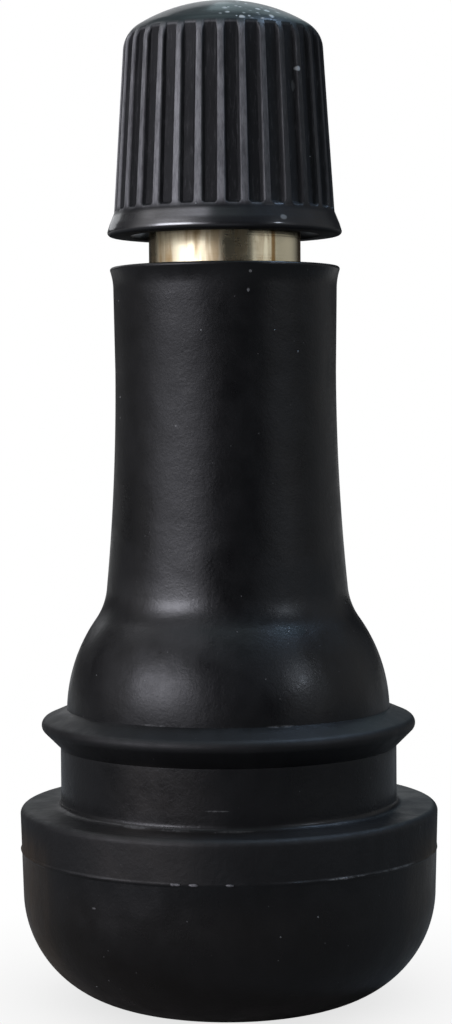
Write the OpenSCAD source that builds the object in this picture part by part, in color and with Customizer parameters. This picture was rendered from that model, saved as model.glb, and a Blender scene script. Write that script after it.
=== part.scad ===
// Snap-in tyre valve: rubber moulded round a turned brass stem, a screwed valve core and a fluted cap.
// Millimetres, +Z up along the stem, origin at the centre of the flat bottom of the rubber.

/* [Rubber body] */
// Diameter of the base at its seat edge
base_d = 19; // [17.5:0.1:23]
// Height of the seat face above the bottom
base_h = 8.85; // [7:0.05:11]
// Radial draft of the base wall, from the seat edge down to the bottom rounding
base_draft = 0.1; // [0:0.05:0.4]
// Radius of the bottom rounding
base_round = 5; // [3:0.1:6]
// Radius of the seat edge
seat_round = 0.3; // [0.1:0.05:0.6]
// Diameter of the rim groove
groove_d = 15.3; // [13.5:0.1:16.5]
// Height of the rim groove, from the seat face to the foot of the bead
groove_h = 2.7; // [2:0.05:5]
// Radius at the foot of the groove
groove_fillet = 0.3; // [0.1:0.05:0.6]
// How far the bead stands out from the groove
bead_proud = 0.85; // [0.5:0.05:1.2]
// Radius of the tip of the bead
bead_tip_r = 0.35; // [0.2:0.05:0.5]
// Angle at which the upper side of the bead falls outwards
bead_fall = 23; // [10:1:40]
// Diameter of the bell above the bead
bell_d = 14.7; // [13.5:0.1:16]
// Height of the centre of the bell above the foot of the bead
bell_rise = 1.5; // [1:0.1:2]
// Radius of the hollow between bell and stem
bell_fillet = 2.9; // [1:0.1:4]
// Diameter of the rubber at its waist
waist_d = 10; // [9.2:0.1:11]
// Depth of the waist below the top of the rubber
waist_drop = 4.7; // [2:0.1:8]
// Widening of the stem on each side, from the waist down to the centre of the bell
stem_spread = 1.2; // [0.6:0.05:1.6]
// Diameter at the foot of the top lip
lip_foot_d = 10.11; // [9.2:0.01:11.2]
// Diameter of the top lip
lip_d = 10.39; // [9.6:0.01:11.6]
// Height of the flared top lip
lip_h = 1; // [0.8:0.05:1.5]
// Radius of the edge of the top lip
lip_round = 0.12; // [0.05:0.01:0.2]
// Diameter of the hole in the bottom that shows the brass foot
foot_hole_d = 6; // [4.8:0.1:7]

/* [Brass stem] */
// Height of the mouth of the stem above the bottom of the rubber
stem_h = 42.5; // [38:0.5:60]
// Outer diameter of the cap thread
thread_d = 7.7; // [7.5:0.05:8]
// Length of the cap thread
thread_len = 7.6; // [7:0.1:9]
// Chamfer at the end of the cap thread
thread_chamfer = 0.4; // [0.2:0.05:0.5]
// Diameter of the neck below the thread
neck_d = 6.86; // [6.5:0.02:7.2]
// Length of bare neck between the rubber and the cap
neck_gap = 1.4; // [0.5:0.1:3]
// Diameter of the foot flange
foot_d = 9; // [7.8:0.1:10]
// Thickness of the foot flange
foot_t = 1.2; // [0.8:0.1:2]
// Depth of the foot inside the bottom of the rubber
foot_recess = 0.6; // [0.3:0.1:1.2]
// Number of grip grooves round the shank
grip_count = 5; // [3:1:6]
// Spacing of the grip grooves
grip_pitch = 1.8; // [1.4:0.1:2.2]
// Radius of a grip groove
grip_r = 0.5; // [0.3:0.05:0.6]
// Depth of a grip groove
grip_depth = 0.35; // [0.2:0.05:0.5]
// Height of the lowest grip groove above the foot flange
grip_rise = 2.2; // [1.5:0.1:4]
// Diameter of the air hole
air_hole_d = 3.2; // [2.4:0.1:3.6]
// Chamfer at the foot of the air hole
air_chamfer = 0.4; // [0.1:0.05:0.6]
// Chamfer at the mouth of the stem
mouth_chamfer = 0.3; // [0.1:0.05:0.4]

/* [Valve core] */
// Outer diameter of the plug thread
plug_d = 5.1; // [4.9:0.05:5.3]
// Length of the plug thread
plug_len = 3.1; // [2.5:0.1:4]
// Chamfer at both ends of the plug thread
plug_chamfer = 0.2; // [0.1:0.05:0.3]
// Depth of the top of the plug below the mouth of the stem
plug_recess = 1.5; // [1.3:0.1:2]
// Width across the two flats of the bridge
bridge_w = 2.3; // [2:0.05:2.6]
// Length of the bridge
bridge_len = 4.6; // [4:0.1:4.8]
// Height of the bridge
bridge_h = 1; // [0.6:0.1:1.4]
// Diameter of the spigot that carries the barrel
spigot_d = 2.6; // [2.4:0.05:2.8]
// Thickness of the swaged end of the spigot
swage_t = 0.5; // [0.3:0.05:0.7]
// How far the swaged end stands out from the spigot
swage_lip = 0.22; // [0.15:0.01:0.25]
// Diameter of the collar of the barrel
collar_d = 4; // [3.9:0.05:4.2]
// Height of the collar
collar_h = 1.8; // [1.7:0.05:2.5]
// Height of the lip of the collar that is turned in over the swaged end
crimp_h = 0.55; // [0.4:0.05:0.6]
// Diameter of the barrel inside the gasket
land_d = 3.1; // [3:0.05:3.2]
// Height of the gasket
gasket_h = 1.8; // [1.6:0.1:2.5]
// Diameter of the shoulder under the gasket
shoulder_d = 3.5; // [3.4:0.05:3.7]
// Height of the shoulder
shoulder_h = 0.4; // [0.3:0.05:0.8]
// Diameter of the tail of the barrel
tail_d = 3; // [2.8:0.05:3.2]
// Length of the tail of the barrel
tail_len = 5.8; // [5:0.1:8]
// Diameter of the spring bore in the barrel
spring_bore_d = 2.3; // [2.2:0.05:2.4]
// Thickness of the ledge under the spring
ledge_t = 1; // [0.6:0.1:1.4]
// Bevel outside the rim that the seat washer closes on
rim_bevel = 0.2; // [0.1:0.05:0.3]
// Diameter of the bore for the gasket
gasket_bore_d = 4.5; // [4.4:0.05:4.7]
// Diameter of the bore for the tail
tail_bore_d = 3.9; // [3.8:0.05:4]
// Height of the conical seat between these bores
seat_h = 1; // [0.6:0.1:1.4]
// Diameter of the pin
pin_d = 1.2; // [1:0.05:1.3]
// Diameter of the head of the pin
pin_head_d = 1.4; // [1.3:0.05:1.5]
// Height of the head of the pin
pin_head_h = 0.6; // [0.4:0.1:0.8]
// Chamfer at the top of the head
pin_chamfer = 0.15; // [0.1:0.01:0.2]
// Depth of the pin below the mouth of the stem
pin_recess = 0.2; // [0:0.05:0.3]
// Diameter of the spring flange on the pin
flange_d = 2; // [1.9:0.05:2.1]
// Thickness of the spring flange
flange_t = 0.4; // [0.3:0.05:0.5]
// Travel of the pin
pin_travel = 1.2; // [0.8:0.1:1.3]
// Outer diameter of the cup
cup_d = 3.2; // [3.1:0.05:3.3]
// Thickness of the sheet of the cup
cup_t = 0.25; // [0.2:0.05:0.3]
// Height of the cup
cup_h = 1.2; // [0.9:0.1:1.3]
// Radius of the lower edge of the cup
cup_round = 0.3; // [0.25:0.01:0.35]
// Thickness of the seat washer
washer_t = 1.3; // [1.2:0.1:1.6]
// Diameter of the riveted end of the pin
rivet_d = 1.7; // [1.6:0.05:1.9]
// Height of the riveted end
rivet_h = 0.3; // [0.2:0.05:0.5]
// Wire of the spring
wire_d = 0.24; // [0.2:0.01:0.26]
// Number of turns of the spring
spring_turns = 9; // [7:1:12]

/* [Cap] */
// Length of neck that the rim of the cap covers below the thread
cap_cover = 0.3; // [0.1:0.05:0.6]
// Thickness of the seal in the cap
seal_t = 0.8; // [0.5:0.05:1.2]
// Outer diameter of the seal
seal_d = 7.4; // [7:0.05:7.6]
// Hole of the seal
seal_hole_d = 3.2; // [2.6:0.1:4]
// Thickness of the roof of the cap at its middle
roof_t = 1.79; // [1.6:0.01:2.4]
// Diameter of the rim of the cap
cap_rim_d = 10.6; // [10.3:0.05:11.6]
// Radius of the lower edge of the rim
cap_rim_round = 0.18; // [0.1:0.01:0.25]
// Chamfer at the mouth of the bore
cap_lead = 0.35; // [0.2:0.05:0.5]
// Height of the rim band
cap_rim_h = 0.55; // [0.4:0.05:0.8]
// Draft of the rim band, on the radius
cap_rim_draft = 0.1; // [0:0.01:0.15]
// Height of the slope from the rim band in to the fluted wall
cap_skirt_h = 0.5; // [0.2:0.05:0.8]
// Diameter over the ridges at the foot of the wall
cap_wall_d = 9.96; // [9.7:0.02:10.2]
// Taper of the wall, on each side
cap_taper = 3.67; // [2:0.1:4]
// Radius of the shoulder between the wall and the domed top
crown_r = 1.32; // [1:0.01:1.6]
// Angle round the shoulder at which the dome begins
dome_start = 58.6; // [50:0.1:65]
// Number of flutes
flute_count = 30; // [24:1:32]
// Width of the flat floor of a flute
flute_floor = 0.5; // [0.3:0.01:0.55]
// Width of a flute at its mouth
flute_mouth = 0.74; // [0.5:0.01:0.8]
// Depth of a flute
flute_depth = 0.22; // [0.1:0.01:0.24]
// Turn of the ridge nearest the front
flute_turn = -1.5; // [-5:0.5:5]

/* [Clearances] */
// Cap bore over the cap thread, on the radius
cap_play = 0.1; // [0.05:0.01:0.12]
// Plug thread in the stem, on the radius
plug_play = 0.05; // [0.02:0.01:0.08]
// Gasket in its seat, on the radius
gasket_play = 0.03; // [0.01:0.01:0.05]
// Swivel of the barrel on the plug, on the radius and along the axis
swivel_play = 0.06; // [0.03:0.01:0.1]
// Pin through the plug, on the radius over the head
pin_play = 0.15; // [0.1:0.01:0.2]
// Spring in its bore, on the radius
spring_play = 0.12; // [0.08:0.01:0.14]
// Air way round the pin at the ledge, on the radius
ledge_play = 0.2; // [0.15:0.01:0.25]
// Rise of the pin that is left above its flange
lift_play = 0.3; // [0.2:0.05:0.5]
// Free length under the pressed cup
cup_play = 1.2; // [0.5:0.1:2]

/* [Hidden] */
$fn = 96;

// Length by which a cutting shape passes the face that it cuts
over = 1;
// Straight steps in a drawn arc
arc_steps = 10;
// Steps in a turn of the spring, and sides of its wire
turn_steps = 18;
wire_sides = 8;

rubber_color = [0.09, 0.09, 0.1];
brass_color = [0.78, 0.64, 0.36];
cap_color = [0.11, 0.11, 0.12];
seal_color = [0.15, 0.14, 0.14];
gasket_color = [0.6, 0.15, 0.12];
steel_color = [0.7, 0.71, 0.72];

// Heights up the outside, from the mouth of the stem down
thread_z = stem_h - thread_len;
cap_rim_z = thread_z - cap_cover;
rubber_top = cap_rim_z - neck_gap;
waist_z = rubber_top - waist_drop;
roof_z = stem_h + seal_t;
crown_z = roof_z + roof_t;
wall_z = cap_rim_z + cap_rim_h + cap_skirt_h;

// Rubber, from the bottom up
base_r = base_d / 2;
base_low_r = base_r - base_draft;
groove_r = groove_d / 2;
groove_top = base_h + groove_h;
bell_r = bell_d / 2;
bell_c = [0, groove_top + bell_rise];
tip_run = bead_proud - bead_tip_r;
tip_c = [groove_r + tip_run, groove_top + tip_run + bead_tip_r * sqrt(2)];
tip_end = tip_c + bead_tip_r * [sin(bead_fall), cos(bead_fall)];
bead_dir = [-cos(bead_fall), sin(bead_fall)];
bead_foot = tip_end + bead_dir * reach(tip_end - bell_c, bead_dir, bell_r);
// Wide sweep of the stem from the waist down, and the hollow that joins it to the bell
sweep_h = waist_z - bell_c[1];
sweep_r = (sweep_h * sweep_h + stem_spread * stem_spread) / (2 * stem_spread);
sweep_c = [waist_d / 2 + sweep_r, waist_z];
hollow_c = meet(bell_c, bell_r + bell_fillet, sweep_c, sweep_r - bell_fillet);
hollow_a = atan2(hollow_c[1] - bell_c[1], hollow_c[0]);
sweep_a = atan2(sweep_c[1] - hollow_c[1], sweep_c[0] - hollow_c[0]);
// Flare of the top lip, which runs into the rounded edge
flare_d = (lip_d - lip_foot_d) / 2;
flare_h = lip_h - lip_round;
flare_r = flare_h * flare_h / (2 * flare_d) - lip_round + flare_d / 2;
flare_a = atan2(flare_h, flare_r + lip_round - flare_d);

// Brass, from the foot up
neck_r = neck_d / 2;
thread_r = thread_d / 2;
foot_top = foot_recess + foot_t;
air_r = air_hole_d / 2;
tail_bore_r = tail_bore_d / 2;
gasket_bore_r = gasket_bore_d / 2;
core_bore_r = plug_d / 2 + plug_play;

// Valve core, from the mouth of the stem down
pin_top = stem_h - pin_recess;
plug_top = stem_h - plug_recess;
bridge_z = plug_top - bridge_h;
plug_z = bridge_z - plug_len;
barrel_top = plug_z - swivel_play;
swage_top = barrel_top - crimp_h - swivel_play;
swage_z = swage_top - swage_t;
pocket_z = swage_z - swivel_play;
land_top = barrel_top - collar_h;
land_z = land_top - gasket_h;
tail_top = land_z - shoulder_h;
barrel_z = tail_top - tail_len;
ledge_z = barrel_z + ledge_t;
flange_top = swage_z - lift_play;
flange_z = flange_top - flange_t;
cup_floor = barrel_z - washer_t;
cup_z = cup_floor - cup_t;
tail_bore_z = cup_z - rivet_h - pin_travel - cup_play;
seat_z = land_z + gasket_play;

pin_r = pin_d / 2;
pin_hole_r = pin_head_d / 2 + pin_play;
spigot_r = spigot_d / 2;
swage_r = spigot_r + swage_lip;
land_r = land_d / 2;
tail_r = tail_d / 2;
spring_bore_r = spring_bore_d / 2;
coil_r = spring_bore_r - spring_play - wire_d / 2;
washer_r = cup_d / 2 - cup_t;

// Cap
cap_bore_r = thread_r + cap_play;
cap_rim_r = cap_rim_d / 2;
cap_wall_r = cap_wall_d / 2;
// The shoulder is set at the height from which the dome that leaves it smoothly ends at the top of the cap
dome_share = (1 - sin(dome_start)) / cos(dome_start);
shoulder_r = cap_wall_r + tan(cap_taper) * wall_z - crown_r / cos(cap_taper);
shoulder_z = (crown_z - crown_r - dome_share * shoulder_r) / (1 - dome_share * tan(cap_taper));
crown_c = [shoulder_r - tan(cap_taper) * shoulder_z, shoulder_z];
dome_r = crown_c[0] / cos(dome_start) + crown_r;
flute_pitch = 360 / flute_count;
flute_side = (flute_mouth - flute_floor) / 2 / flute_depth;

// Points of an arc about c, from angle a to angle b
function arc(c, r, a, b) =
    [for (i = [0:arc_steps]) let (t = a + (b - a) * i / arc_steps) c + r * [cos(t), sin(t)]];

// Distance from p along the direction d to a circle of radius r about the origin
function reach(p, d, r) = -p * d - sqrt((p * d) * (p * d) - p * p + r * r);

// Upper point where the circle of radius r about p meets the circle of radius s about q
function meet(p, r, q, s) =
    let (
        d = norm(q - p),
        u = (q - p) / d,
        a = (d * d + r * r - s * s) / (2 * d),
        h = sqrt(r * r - a * a))
    p + a * u + h * [-u[1], u[0]];

// Ring with a rectangular section
module ring(inner_r, outer_r, low, high) {
    rotate_extrude()
        translate([inner_r, low]) square([outer_r - inner_r, high - low]);
}

// Section of the rubber as if it had no stem
module rubber_outline() {
    polygon(concat(
        [[0, 0]],
        arc([base_low_r - base_round, base_round], base_round, -90, 0),
        arc([base_r - seat_round, base_h - seat_round], seat_round, 0, 90),
        arc([groove_r + groove_fillet, base_h + groove_fillet], groove_fillet, 270, 180),
        [[groove_r, groove_top]],
        arc(tip_c, bead_tip_r, -45, 90 - bead_fall),
        arc(bell_c, bell_r, atan2(bead_foot[1] - bell_c[1], bead_foot[0]), hollow_a),
        arc(hollow_c, bell_fillet, 180 + hollow_a, 180 + sweep_a),
        arc(sweep_c, sweep_r, 180 + sweep_a, 180),
        arc([lip_foot_d / 2 + flare_r, rubber_top - lip_h], flare_r, 180, 180 - flare_a),
        arc([lip_d / 2 - lip_round, rubber_top - lip_round], lip_round, -flare_a, 90),
        [[0, rubber_top]]));
}

// Section of the brass as if it had no bore
module brass_outline() {
    difference() {
        polygon([
            [0, foot_recess], [foot_d / 2, foot_recess], [foot_d / 2, foot_top], [neck_r, foot_top],
            [neck_r, thread_z], [thread_r, thread_z + thread_r - neck_r],
            [thread_r, stem_h - thread_chamfer], [thread_r - thread_chamfer, stem_h], [0, stem_h]]);
        for (i = [0:grip_count - 1])
            translate([neck_r + grip_r - grip_depth, foot_top + grip_rise + i * grip_pitch])
                circle(grip_r);
    }
}

// Section of the bore through the brass
module brass_bore() {
    polygon([
        [0, foot_recess - over], [air_r + air_chamfer, foot_recess - over],
        [air_r + air_chamfer, foot_recess], [air_r, foot_recess + air_chamfer],
        [air_r, tail_bore_z - (tail_bore_r - air_r)], [tail_bore_r, tail_bore_z],
        [tail_bore_r, seat_z], [gasket_bore_r, seat_z + seat_h],
        [gasket_bore_r, barrel_top - (core_bore_r - gasket_bore_r)], [core_bore_r, barrel_top],
        [core_bore_r, stem_h - mouth_chamfer], [core_bore_r + mouth_chamfer, stem_h],
        [core_bore_r + mouth_chamfer, stem_h + over], [0, stem_h + over]]);
}

// Section of the cap without its flutes
module cap_outline() {
    difference() {
        polygon(concat(
            [[0, cap_rim_z]],
            arc([cap_rim_r - cap_rim_round, cap_rim_z + cap_rim_round], cap_rim_round, -90, 0),
            [[cap_rim_r - cap_rim_draft, cap_rim_z + cap_rim_h], [cap_wall_r, wall_z]],
            arc(crown_c, crown_r, cap_taper, dome_start),
            arc([0, crown_z - dome_r], dome_r, dome_start, 90)));
        polygon([
            [0, cap_rim_z - over], [cap_bore_r + cap_lead, cap_rim_z - over], [cap_bore_r + cap_lead, cap_rim_z],
            [cap_bore_r, cap_rim_z + cap_lead], [cap_bore_r, roof_z], [0, roof_z]]);
    }
}

// One flute with a flat floor and sloping sides, laid along the tapered wall
module flute() {
    floor_half = flute_floor / 2;
    open_half = floor_half + flute_side * (flute_depth + over);
    translate([cap_wall_r - flute_depth, 0, wall_z])
        rotate([0, -cap_taper, 0])
            linear_extrude(height = crown_z - wall_z + over)
                polygon([[0, -floor_half], [flute_depth + over, -open_half], [flute_depth + over, open_half],
                    [0, floor_half]]);
}

module rubber_body() {
    color(rubber_color)
        rotate_extrude()
            difference() {
                rubber_outline();
                brass_outline();
                translate([0, -over]) square([foot_hole_d / 2, foot_recess + over]);
            }
}

module brass_stem() {
    color(brass_color)
        rotate_extrude()
            difference() {
                brass_outline();
                brass_bore();
            }
}

module valve_cap() {
    color(cap_color)
        difference() {
            rotate_extrude() cap_outline();
            for (i = [0:flute_count - 1])
                rotate(flute_turn - 90 + (i + 0.5) * flute_pitch) flute();
        }
}

module cap_seal() {
    color(seal_color) ring(seal_hole_d / 2, seal_d / 2, stem_h, roof_z);
}

module core_plug() {
    color(brass_color) {
        rotate_extrude()
            polygon([
                [pin_hole_r, swage_z], [swage_r, swage_z], [swage_r, swage_top], [spigot_r, swage_top],
                [spigot_r, plug_z], [plug_d / 2 - plug_chamfer, plug_z], [plug_d / 2, plug_z + plug_chamfer],
                [plug_d / 2, bridge_z - plug_chamfer], [plug_d / 2 - plug_chamfer, bridge_z],
                [pin_hole_r, bridge_z]]);
        difference() {
            intersection() {
                translate([0, 0, bridge_z]) cylinder(d = bridge_len, h = bridge_h);
                translate([-bridge_len, -bridge_w / 2, bridge_z]) cube([2 * bridge_len, bridge_w, bridge_h]);
            }
            translate([0, 0, bridge_z - over]) cylinder(r = pin_hole_r, h = bridge_h + 2 * over);
        }
    }
}

module core_barrel() {
    color(brass_color)
        rotate_extrude()
            polygon([
                [pin_r + ledge_play, barrel_z], [tail_r - rim_bevel, barrel_z], [tail_r, barrel_z + rim_bevel],
                [tail_r, tail_top], [shoulder_d / 2, tail_top], [shoulder_d / 2, land_z], [land_r, land_z],
                [land_r, land_top], [collar_d / 2, land_top], [collar_d / 2, barrel_top],
                [spigot_r + swivel_play, barrel_top], [spigot_r + swivel_play, barrel_top - crimp_h],
                [swage_r + swivel_play, barrel_top - crimp_h], [swage_r + swivel_play, pocket_z],
                [spring_bore_r, pocket_z], [spring_bore_r, ledge_z], [pin_r + ledge_play, ledge_z]]);
}

module barrel_gasket() {
    color(gasket_color)
        rotate_extrude()
            polygon([
                [land_r, land_z], [tail_bore_r - gasket_play, land_z], [tail_bore_r - gasket_play, seat_z],
                [gasket_bore_r - gasket_play, seat_z + seat_h], [gasket_bore_r - gasket_play, land_top],
                [land_r, land_top]]);
}

module core_pin() {
    color(steel_color)
        rotate_extrude()
            polygon([
                [0, cup_z - rivet_h], [rivet_d / 2, cup_z - rivet_h], [rivet_d / 2, cup_z], [pin_r, cup_z],
                [pin_r, flange_z], [flange_d / 2, flange_z], [flange_d / 2, flange_top], [pin_r, flange_top],
                [pin_r, pin_top - pin_head_h], [pin_head_d / 2, pin_top - pin_head_h],
                [pin_head_d / 2, pin_top - pin_chamfer], [pin_head_d / 2 - pin_chamfer, pin_top], [0, pin_top]]);
}

// Coil of round wire with its two ends squared to the coil
module core_spring() {
    low = ledge_z + wire_d / 2;
    rise = flange_z - ledge_z - wire_d;
    steps = spring_turns * turn_steps;
    points = [
        for (i = [0:steps], j = [0:wire_sides - 1])
            let (a = 360 * i / turn_steps, b = 360 * j / wire_sides, r = coil_r + wire_d / 2 * cos(b))
                [r * cos(a), r * sin(a), low + rise * i / steps + wire_d / 2 * sin(b)]];
    walls = [
        for (i = [0:steps - 1], j = [0:wire_sides - 1])
            let (k = (j + 1) % wire_sides, p = i * wire_sides, q = p + wire_sides)
                [p + j, p + k, q + k, q + j]];
    ends = [
        [for (j = [0:wire_sides - 1]) wire_sides - 1 - j],
        [for (j = [0:wire_sides - 1]) steps * wire_sides + j]];
    color(steel_color) polyhedron(points, concat(walls, ends));
}

module plunger_cup() {
    color(brass_color)
        rotate_extrude()
            polygon(concat(
                [[pin_r, cup_z]],
                arc([cup_d / 2 - cup_round, cup_z + cup_round], cup_round, -90, 0),
                [[cup_d / 2, cup_z + cup_h], [washer_r, cup_z + cup_h], [washer_r, cup_floor],
                 [pin_r, cup_floor]]));
}

module seat_washer() {
    color(seal_color) ring(pin_r, washer_r, cup_floor, barrel_z);
}

rubber_body();
brass_stem();
valve_cap();
cap_seal();
core_plug();
core_barrel();
barrel_gasket();
core_pin();
core_spring();
plunger_cup();
seat_washer();
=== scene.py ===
"""Snap-in tyre valve: rubber moulded round a brass stem, with its valve core and a fluted cap."""

import logging
import math
from dataclasses import dataclass
from enum import Enum
from typing import Optional, Sequence, Union

import bmesh
import bpy
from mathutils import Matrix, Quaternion, Vector


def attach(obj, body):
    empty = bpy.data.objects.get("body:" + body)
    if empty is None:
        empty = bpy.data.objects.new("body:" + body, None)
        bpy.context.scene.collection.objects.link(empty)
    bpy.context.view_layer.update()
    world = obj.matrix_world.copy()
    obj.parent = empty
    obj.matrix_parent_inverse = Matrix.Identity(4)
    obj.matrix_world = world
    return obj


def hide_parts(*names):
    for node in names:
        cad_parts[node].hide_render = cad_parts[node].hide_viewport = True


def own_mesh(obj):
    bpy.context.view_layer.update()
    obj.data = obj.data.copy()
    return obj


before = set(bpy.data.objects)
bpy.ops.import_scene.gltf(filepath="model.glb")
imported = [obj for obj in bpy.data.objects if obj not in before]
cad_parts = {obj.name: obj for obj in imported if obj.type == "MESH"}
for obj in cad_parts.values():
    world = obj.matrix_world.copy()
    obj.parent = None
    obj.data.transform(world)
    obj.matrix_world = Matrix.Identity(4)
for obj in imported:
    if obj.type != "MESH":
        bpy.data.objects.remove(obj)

LOG = logging.getLogger("tyre_valve")
MM = 0.001
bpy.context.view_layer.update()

# Points closer than this many millimetres are one point.
SAME_SPOT = 1e-5

# Angles in degrees past which an edge stays sharp.
MOULDED_SHARP = 32.0
CAP_SHARP = 30.0
TURNED_SHARP = 28.0
WIRE_SHARP = 50.0
NIB_SHARP = 60.0

Point = tuple[float, float]
Colour = tuple[float, float, float]
Band = tuple[float, float, float, float]
Size = tuple[float, float, float]
Term = Union["Field", float]
Fields = dict[str, "Field"]
Piece = bpy.types.Object
Material = bpy.types.Material


class Body(Enum):
    """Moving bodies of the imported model."""

    VALVE = "valve"
    SEAL = "seal"
    CAP = "cap"
    PLUNGER = "plunger"


class Slot(Enum):
    """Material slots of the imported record."""

    RUBBER = "body_rubber"
    STEM = "stem_brass"
    PLASTIC = "cap_plastic"
    SEAL = "seal_rubber"
    CORE = "core_brass"
    GASKET = "gasket_rubber"
    STEEL = "pin_steel"


class Kind(Enum):
    """Types of the named inputs and outputs of a node group."""

    NUMBER = "NodeSocketFloat"
    WHOLE = "NodeSocketInt"
    VECTOR = "NodeSocketVector"
    SHAPE = "NodeSocketGeometry"
    MATERIAL = "NodeSocketMaterial"


def numbers(*names: str) -> dict[str, Kind]:
    """Inputs or outputs of a group that are plain numbers."""
    return {name: Kind.NUMBER for name in names}


@dataclass(frozen=True)
class Field:
    """A value in a node tree that takes part in sums as a number does."""

    graph: "NodeGraph"
    socket: bpy.types.NodeSocket

    def __add__(self, other: Term) -> "Field":
        """Sum of the two values."""
        return self.graph.math("ADD", self, other)

    def __radd__(self, other: float) -> "Field":
        """Sum of a number and the value."""
        return self.graph.math("ADD", other, self)

    def __sub__(self, other: Term) -> "Field":
        """Value less the other."""
        return self.graph.math("SUBTRACT", self, other)

    def __rsub__(self, other: float) -> "Field":
        """Number less the value."""
        return self.graph.math("SUBTRACT", other, self)

    def __mul__(self, other: Term) -> "Field":
        """Product of the two values."""
        return self.graph.math("MULTIPLY", self, other)

    def __rmul__(self, other: float) -> "Field":
        """Product of a number and the value."""
        return self.graph.math("MULTIPLY", other, self)

    def __truediv__(self, other: Term) -> "Field":
        """Value over the other."""
        return self.graph.math("DIVIDE", self, other)


class NodeGraph:
    """Adds nodes to one shader or geometry tree and joins them."""

    def __init__(self, tree: bpy.types.NodeTree) -> None:
        """Keeps the tree that the nodes go into."""
        self.tree = tree

    def node(self, kind: str, **settings: object) -> bpy.types.Node:
        """Adds a node.

        Args:
            kind: Blender's type name of the node.
            settings: Properties of the node and their values.

        Returns:
            The new node.
        """
        node = self.tree.nodes.new(kind)
        for name, value in settings.items():
            setattr(node, name, value)
        return node

    def feed(self, socket: bpy.types.NodeSocket, value: object) -> None:
        """Joins a value to an input, or sets the input where the value is plain.

        Args:
            socket: The input.
            value: A value in the tree, or a plain one.
        """
        if isinstance(value, Field):
            value = value.socket
        if isinstance(value, bpy.types.NodeSocket):
            self.tree.links.new(value, socket)
        else:
            socket.default_value = value

    def made(self, kind: str, inputs: dict[str, object], output: int = 0, **settings: object) -> Field:
        """Adds a node with its inputs.

        Args:
            kind: Blender's type name of the node.
            inputs: Values by the name of the input.
            output: Place of the wanted output.
            settings: Properties of the node and their values.

        Returns:
            The wanted output.
        """
        node = self.node(kind, **settings)
        for name, value in inputs.items():
            self.feed(node.inputs[name], value)
        return Field(self, node.outputs[output])

    def math(self, operation: str, *terms: Term) -> Field:
        """Adds one sum.

        Args:
            operation: Blender's name of the operation.
            terms: Values in the order of the inputs.

        Returns:
            The result.
        """
        node = self.node("ShaderNodeMath", operation=operation)
        for socket, term in zip(node.inputs, terms):
            self.feed(socket, term)
        return Field(self, node.outputs[0])

    def ramp(self, value: Term, low: Term, high: Term, start: float = 0.0, end: float = 1.0) -> Field:
        """Soft step of a value, with the result start up to low and end from high."""
        inputs = {"Value": value, "From Min": low, "From Max": high, "To Min": start, "To Max": end}
        return self.made("ShaderNodeMapRange", inputs, interpolation_type="SMOOTHSTEP")

    def band(self, value: Term, low: float, high: float, soft: float) -> Field:
        """Mask that is 1 between two values, with soft ends."""
        falling = self.ramp(value, high - soft, high + soft, 1.0, 0.0)
        return self.ramp(value, low - soft, low + soft) * falling

    def split(self, vector: Field) -> tuple[Field, Field, Field]:
        """Takes a vector apart.

        Args:
            vector: The vector.

        Returns:
            Its three parts.
        """
        node = self.node("ShaderNodeSeparateXYZ")
        self.feed(node.inputs[0], vector)
        return tuple(Field(self, socket) for socket in node.outputs)

    def vector(self, x: Term, y: Term, z: Term) -> Field:
        """A vector from three parts."""
        return self.made("ShaderNodeCombineXYZ", {"X": x, "Y": y, "Z": z})

    def stretch(self, vector: Field, scale: Size) -> Field:
        """Multiplies each part of a vector by its own number.

        Args:
            vector: The vector.
            scale: The three numbers.

        Returns:
            The stretched vector.
        """
        node = self.node("ShaderNodeVectorMath", operation="MULTIPLY")
        self.feed(node.inputs[0], vector)
        self.feed(node.inputs[1], scale)
        return Field(self, node.outputs[0])

    def noise(self, vector: Field, scale: Term, detail: float, rough: float, seed: Term = 0.0) -> Field:
        """Soft noise about 0.5, at a place in millimetres and with scale waves in a millimetre."""
        inputs = {"Vector": vector, "W": seed, "Scale": scale, "Detail": detail, "Roughness": rough}
        return self.made("ShaderNodeTexNoise", inputs, noise_dimensions="4D")

    def mix(self, share: Term, first: object, second: object) -> Field:
        """Colour between two colours.

        Args:
            share: Share of the second colour.
            first: Colour at share 0.
            second: Colour at share 1.

        Returns:
            The mixed colour.
        """
        node = self.node("ShaderNodeMix", data_type="RGBA")
        colours = [socket for socket in node.inputs if socket.type == "RGBA"]
        self.feed(node.inputs[0], share)
        for socket, value in zip(colours, (first, second)):
            self.feed(socket, (*value, 1.0) if isinstance(value, tuple) else value)
        return Field(self, [socket for socket in node.outputs if socket.type == "RGBA"][0])


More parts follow.
